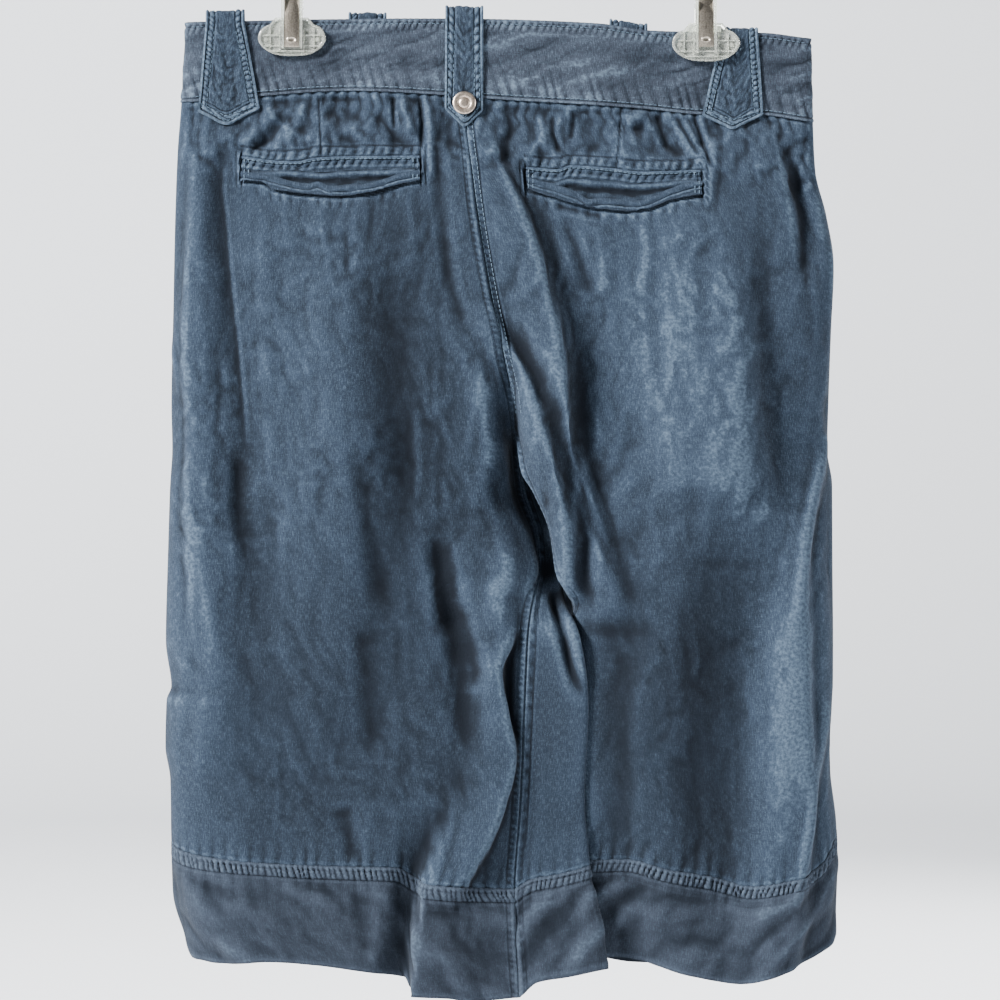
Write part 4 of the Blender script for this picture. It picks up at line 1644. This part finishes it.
def turned(profile, steps):
    """Points (x, out, z) and faces of a solid turned about its axis."""
    points, faces = [], []
    rings = profile[1:-1]
    for radius, out in rings:
        for i in range(steps):
            a = 2 * math.pi * i / steps
            points.append((radius * math.cos(a), out, radius * math.sin(a)))
    for j in range(len(rings) - 1):
        for i in range(steps):
            k = (i + 1) % steps
            faces.append((j * steps + i, j * steps + k, (j + 1) * steps + k, (j + 1) * steps + i))
    points.append((0.0, profile[0][1], 0.0))
    points.append((0.0, profile[-1][1], 0.0))
    last = (len(rings) - 1) * steps
    for i in range(steps):
        k = (i + 1) % steps
        faces.append((len(points) - 2, k, i))
        faces.append((len(points) - 1, last + i, last + k))
    return points, faces


def solid(name, bm, finish, smooth):
    """One rigid piece from a finished shape, its faces turned out."""
    bmesh.ops.recalc_face_normals(bm, faces=bm.faces[:])
    mesh = bpy.data.meshes.new(name)
    bm.to_mesh(mesh)
    bm.free()
    return link_piece(name, mesh, finish, smooth)


def join_rings(bm, rings):
    """Faces between rings of corners, and one over either end."""
    for a, b in zip(rings, rings[1:]):
        for i in range(len(a)):
            k = (i + 1) % len(a)
            bm.faces.new((a[i], a[k], b[k], b[i]))
    bm.faces.new(rings[0][::-1])
    bm.faces.new(rings[-1])


class PANTS_OT_buttons(bpy.types.Operator):
    """Make the two tack buttons with a plain ring round a domed middle."""
    bl_idname = "pants.buttons"
    bl_label = "Buttons"

    def execute(self, context):
        shape, faces = turned(BUTTON_RINGS, BUTTON_STEPS)
        for node, sign in (("back_button", 1), ("front_button", -1)):
            low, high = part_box(node)
            corners = np.array([v.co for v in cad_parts[node].data.vertices])
            _, _, axes = np.linalg.svd(corners - corners.mean(0))
            forward = axes[2] * (1 if axes[2][1] * sign < 0 else -1)
            right = unit(np.cross(forward, (0, 0, 1.0)))
            up = np.cross(right, forward)
            foot = np.array((low + high) / 2) - forward * BUTTON_FOOT * MM
            bm = bmesh.new()
            made = [bm.verts.new(foot + (right * x + up * z + forward * out) * MM)
                    for x, out, z in shape]
            for face in faces:
                bm.faces.new([made[i] for i in face])
            piece = solid(node + "_metal", bm, "button_silver", BUTTON_SMOOTH)
            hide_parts(node)
        return {"FINISHED"}


def pad_outline(half, high, shoulder, round_by):
    """A clip pad's outline about its top middle: an oval flattened on top, with a raised
    shoulder for its spring. Points (across, height) in millimetres."""
    side = []
    for degrees in range(66, -90, -6):
        a = math.radians(degrees)
        if degrees > 0:
            side.append((half - round_by * (1 - math.cos(a)), -round_by * (1 - math.sin(a))))
        else:
            side.append((half * math.cos(a) ** 0.75,
                         -round_by - (high - round_by) * abs(math.sin(a)) ** 1.25))
    mirrored = [(-x, z) for x, z in side][::-1]
    return list(shoulder) + side + [(0.0, -high)] + mirrored


def clip_pad(name, across, top, near, way):
    """One moulded pad: a plate with a raised rim, crossing ribs and small bosses."""
    bm = bmesh.new()

    def place(x, out, z):
        return (across + x) * MM, -(near + way * out) * MM, (top + z) * MM

    outline = pad_outline(PAD_WIDE / 2, PAD_HIGH, PAD_SHOULDER, PAD_ROUND)
    join_rings(bm, [[bm.verts.new(place(x * size, out, (z + PAD_HIGH / 2) * size - PAD_HIGH / 2))
                     for x, z in outline] for size, out in PAD_RIM])
    for x0, x1, z0, z1, out0, out1 in RAILS + RIBS + POSTS:
        made = bmesh.ops.create_cube(bm, size=1.0)["verts"]
        for v in made:
            v.co = place((x0 + x1) / 2 + v.co.x * (x1 - x0), (out0 + out1) / 2
                         + v.co.y * (out1 - out0), (z0 + z1) / 2 + v.co.z * (z1 - z0))
        edges = {e for v in made for e in v.link_edges}
        bmesh.ops.bevel(bm, geom=list(edges), offset=PAD_CORNER * MM, segments=2, profile=0.5,
                        affect="EDGES")
    for x in (-BOSS_ACROSS, BOSS_ACROSS):
        made = bmesh.ops.create_cone(bm, cap_ends=True, segments=20, radius1=BOSS_FOOT,
                                     radius2=BOSS_TOP, depth=BOSS_HIGH)["verts"]
        for v in made:
            v.co = place(x + v.co.x, BOSS_OUT + v.co.z, v.co.y - BOSS_DOWN)
    return solid(name, bm, "moulded_plastic", HANGER_SMOOTH)


def spring_piece(name, node):
    """The steel strip that goes over the bar, with rolled edges and a small raised oval."""
    low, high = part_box(node)
    middle = (low.x + high.x) / 2
    bm = bmesh.new()
    bm.from_mesh(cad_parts[node].data)
    bmesh.ops.remove_doubles(bm, verts=bm.verts[:], dist=1e-6)
    bmesh.ops.dissolve_limit(
        bm, angle_limit=math.radians(1.0), verts=bm.verts[:], edges=bm.edges[:])
    sharp = [e for e in bm.edges
             if len(e.link_faces) == 2 and e.calc_face_angle() > math.radians(15)]
    bmesh.ops.bevel(bm, geom=sharp, offset=STRIP_CORNER * MM, segments=3, profile=0.5,
                    affect="EDGES")
    for v in bm.verts:
        v.co.x = middle + (v.co.x - middle) * STRIP_SHARE
    for sign, y in ((-1, low.y), (1, high.y)):
        join_rings(bm, [[bm.verts.new((
            middle + OVAL_WIDE * size * math.cos(a) * MM, y + sign * out * MM,
            low.z + (OVAL_UP + OVAL_TALL * size * math.sin(a)) * MM))
            for a in np.linspace(0, 2 * math.pi, OVAL_STEPS, endpoint=False)]
            for size, out in OVAL_RIM])
    return solid(name, bm, "brushed_steel", HANGER_SMOOTH)


class PANTS_OT_hanger(bpy.types.Operator):
    """Make the clips and give the bar and the hook their finishes."""
    bl_idname = "pants.hanger"
    bl_label = "Clip Hanger"

    def execute(self, context):
        for side, across, down in zip(("left", "right"), CLIP_ACROSS, CLIP_DOWN):
            for face, way in ((BACK, 1), (FRONT, -1)):
                node = f"{side}_clip_{face}_pad"
                low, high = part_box(node)
                near = (-high.y if way > 0 else -low.y) / MM
                piece = clip_pad(node + "_moulding", across, -(WAIST_BELOW_HOOK + down), near, way)
                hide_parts(node)
            node = side + "_clip_spring"
            piece = spring_piece(node + "_strip", node)
            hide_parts(node)
        for node, finish in (("hanger_bar", "moulded_plastic"), ("hanger_hook", "brushed_steel")):
            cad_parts[node].data.materials.clear()
            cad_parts[node].data.materials.append(bpy.data.materials[finish])
        return {"FINISHED"}


class PANTS_OT_stage(bpy.types.Operator):
    """Make the floor, the lights and the camera."""
    bl_idname = "pants.stage"
    bl_label = "Stage"

    def execute(self, context):
        stage = context.scene.pants_stage
        w, shader = new_material("backdrop")
        place = w.node("ShaderNodeTexCoord").outputs["Object"]
        tone = w.noise(place, (1.2, 1.2, 1.2), 2.0, 0.5)
        light = tuple(stage.floor)
        dark = tuple(c * 0.93 for c in light)
        w.link(w.mix(tone, (*dark, 1), (*light, 1)), shader.inputs["Base Color"])
        shader.inputs["Roughness"].default_value = 0.9
        curve = [(SWEEP_FROM + SWEEP_ROUND * math.sin(a), SWEEP_ROUND * (1 - math.cos(a)))
                 for a in np.linspace(0, math.pi / 2, 16)]
        profile = [(-FLOOR_HALF, 0.0)] + curve + [(SWEEP_FROM + SWEEP_ROUND, WALL_HIGH)]
        points = [(x, y, z - FLOOR_DOWN) for y, z in profile for x in (-FLOOR_HALF, FLOOR_HALF)]
        faces = [(2 * i, 2 * i + 1, 2 * i + 3, 2 * i + 2) for i in range(len(profile) - 1)]
        mesh = bpy.data.meshes.new("floor_sweep")
        mesh.from_pydata(points, [], faces)
        mesh.shade_smooth()
        mesh.materials.append(bpy.data.materials["backdrop"])
        floor = bpy.data.objects.new("floor_sweep", mesh)
        context.collection.objects.link(floor)
        for spec in LAMPS:
            lamp = bpy.data.lights.new(spec.name, "AREA")
            lamp.energy, lamp.size = getattr(stage, spec.power), spec.size
            light = bpy.data.objects.new(spec.name, lamp)
            light.location = spec.place
            aim = Vector(spec.aim) - Vector(spec.place)
            light.rotation_euler = aim.to_track_quat("-Z", "Y").to_euler()
            context.collection.objects.link(light)
        world = bpy.data.worlds.new("room")
        world.use_nodes = True
        room = world.node_tree.nodes["Background"].inputs
        room["Color"].default_value = (0.86, 0.92, 1.0, 1)
        room["Strength"].default_value = stage.sky
        context.scene.world = world
        camera = bpy.data.cameras.new("camera")
        camera.sensor_width = SENSOR_WIDE
        centre = Vector(stage.centre)
        camera.lens = SENSOR_WIDE * (stage.distance + centre.y) / stage.frame_wide
        view = bpy.data.objects.new("camera", camera)
        view.location = (centre.x, -stage.distance, centre.z)
        view.rotation_euler = (math.pi / 2, 0, 0)
        context.collection.objects.link(view)
        context.scene.camera = view
        return {"FINISHED"}


OPERATORS = (
    PANTS_OT_materials, PANTS_OT_legs, PANTS_OT_hems, PANTS_OT_waistband, PANTS_OT_loops,
    PANTS_OT_pockets, PANTS_OT_fly, PANTS_OT_stitches, PANTS_OT_buttons, PANTS_OT_hanger,
    PANTS_OT_stage,
)


class PANTS_PT_panel(bpy.types.Panel):
    """The sizes, the colours and the steps that build the pants."""
    bl_idname = "PANTS_PT_panel"
    bl_label = "Capri Pants"
    bl_space_type = "VIEW_3D"
    bl_region_type = "UI"
    bl_category = "Capri Pants"

    def draw(self, context):
        scene = context.scene
        for settings in (scene.pants_cloth, scene.pants_colours, scene.pants_stage):
            box = self.layout.box()
            for name in settings.bl_rna.properties.keys():
                if name not in ("rna_type", "name"):
                    box.prop(settings, name)
        for operator in OPERATORS:
            self.layout.operator(operator.bl_idname)


CLASSES = (ClothSettings, ColourSettings, StageSettings) + OPERATORS + (PANTS_PT_panel,)


def register():
    for cls in CLASSES:
        bpy.utils.register_class(cls)
    bpy.types.Scene.pants_cloth = bpy.props.PointerProperty(type=ClothSettings)
    bpy.types.Scene.pants_colours = bpy.props.PointerProperty(type=ColourSettings)
    bpy.types.Scene.pants_stage = bpy.props.PointerProperty(type=StageSettings)


def unregister():
    del bpy.types.Scene.pants_stage
    del bpy.types.Scene.pants_colours
    del bpy.types.Scene.pants_cloth
    for cls in reversed(CLASSES):
        bpy.utils.unregister_class(cls)


def main():
    """Register, build everything in order and note the sizes."""
    register()
    bpy.ops.pants.materials()
    bpy.ops.pants.legs()
    bpy.ops.pants.hems()
    bpy.ops.pants.waistband()
    bpy.ops.pants.loops()
    bpy.ops.pants.pockets()
    bpy.ops.pants.fly()
    bpy.ops.pants.stitches()
    bpy.ops.pants.buttons()
    bpy.ops.pants.hanger()
    bpy.ops.pants.stage()


if __name__ == "__main__":
    main()
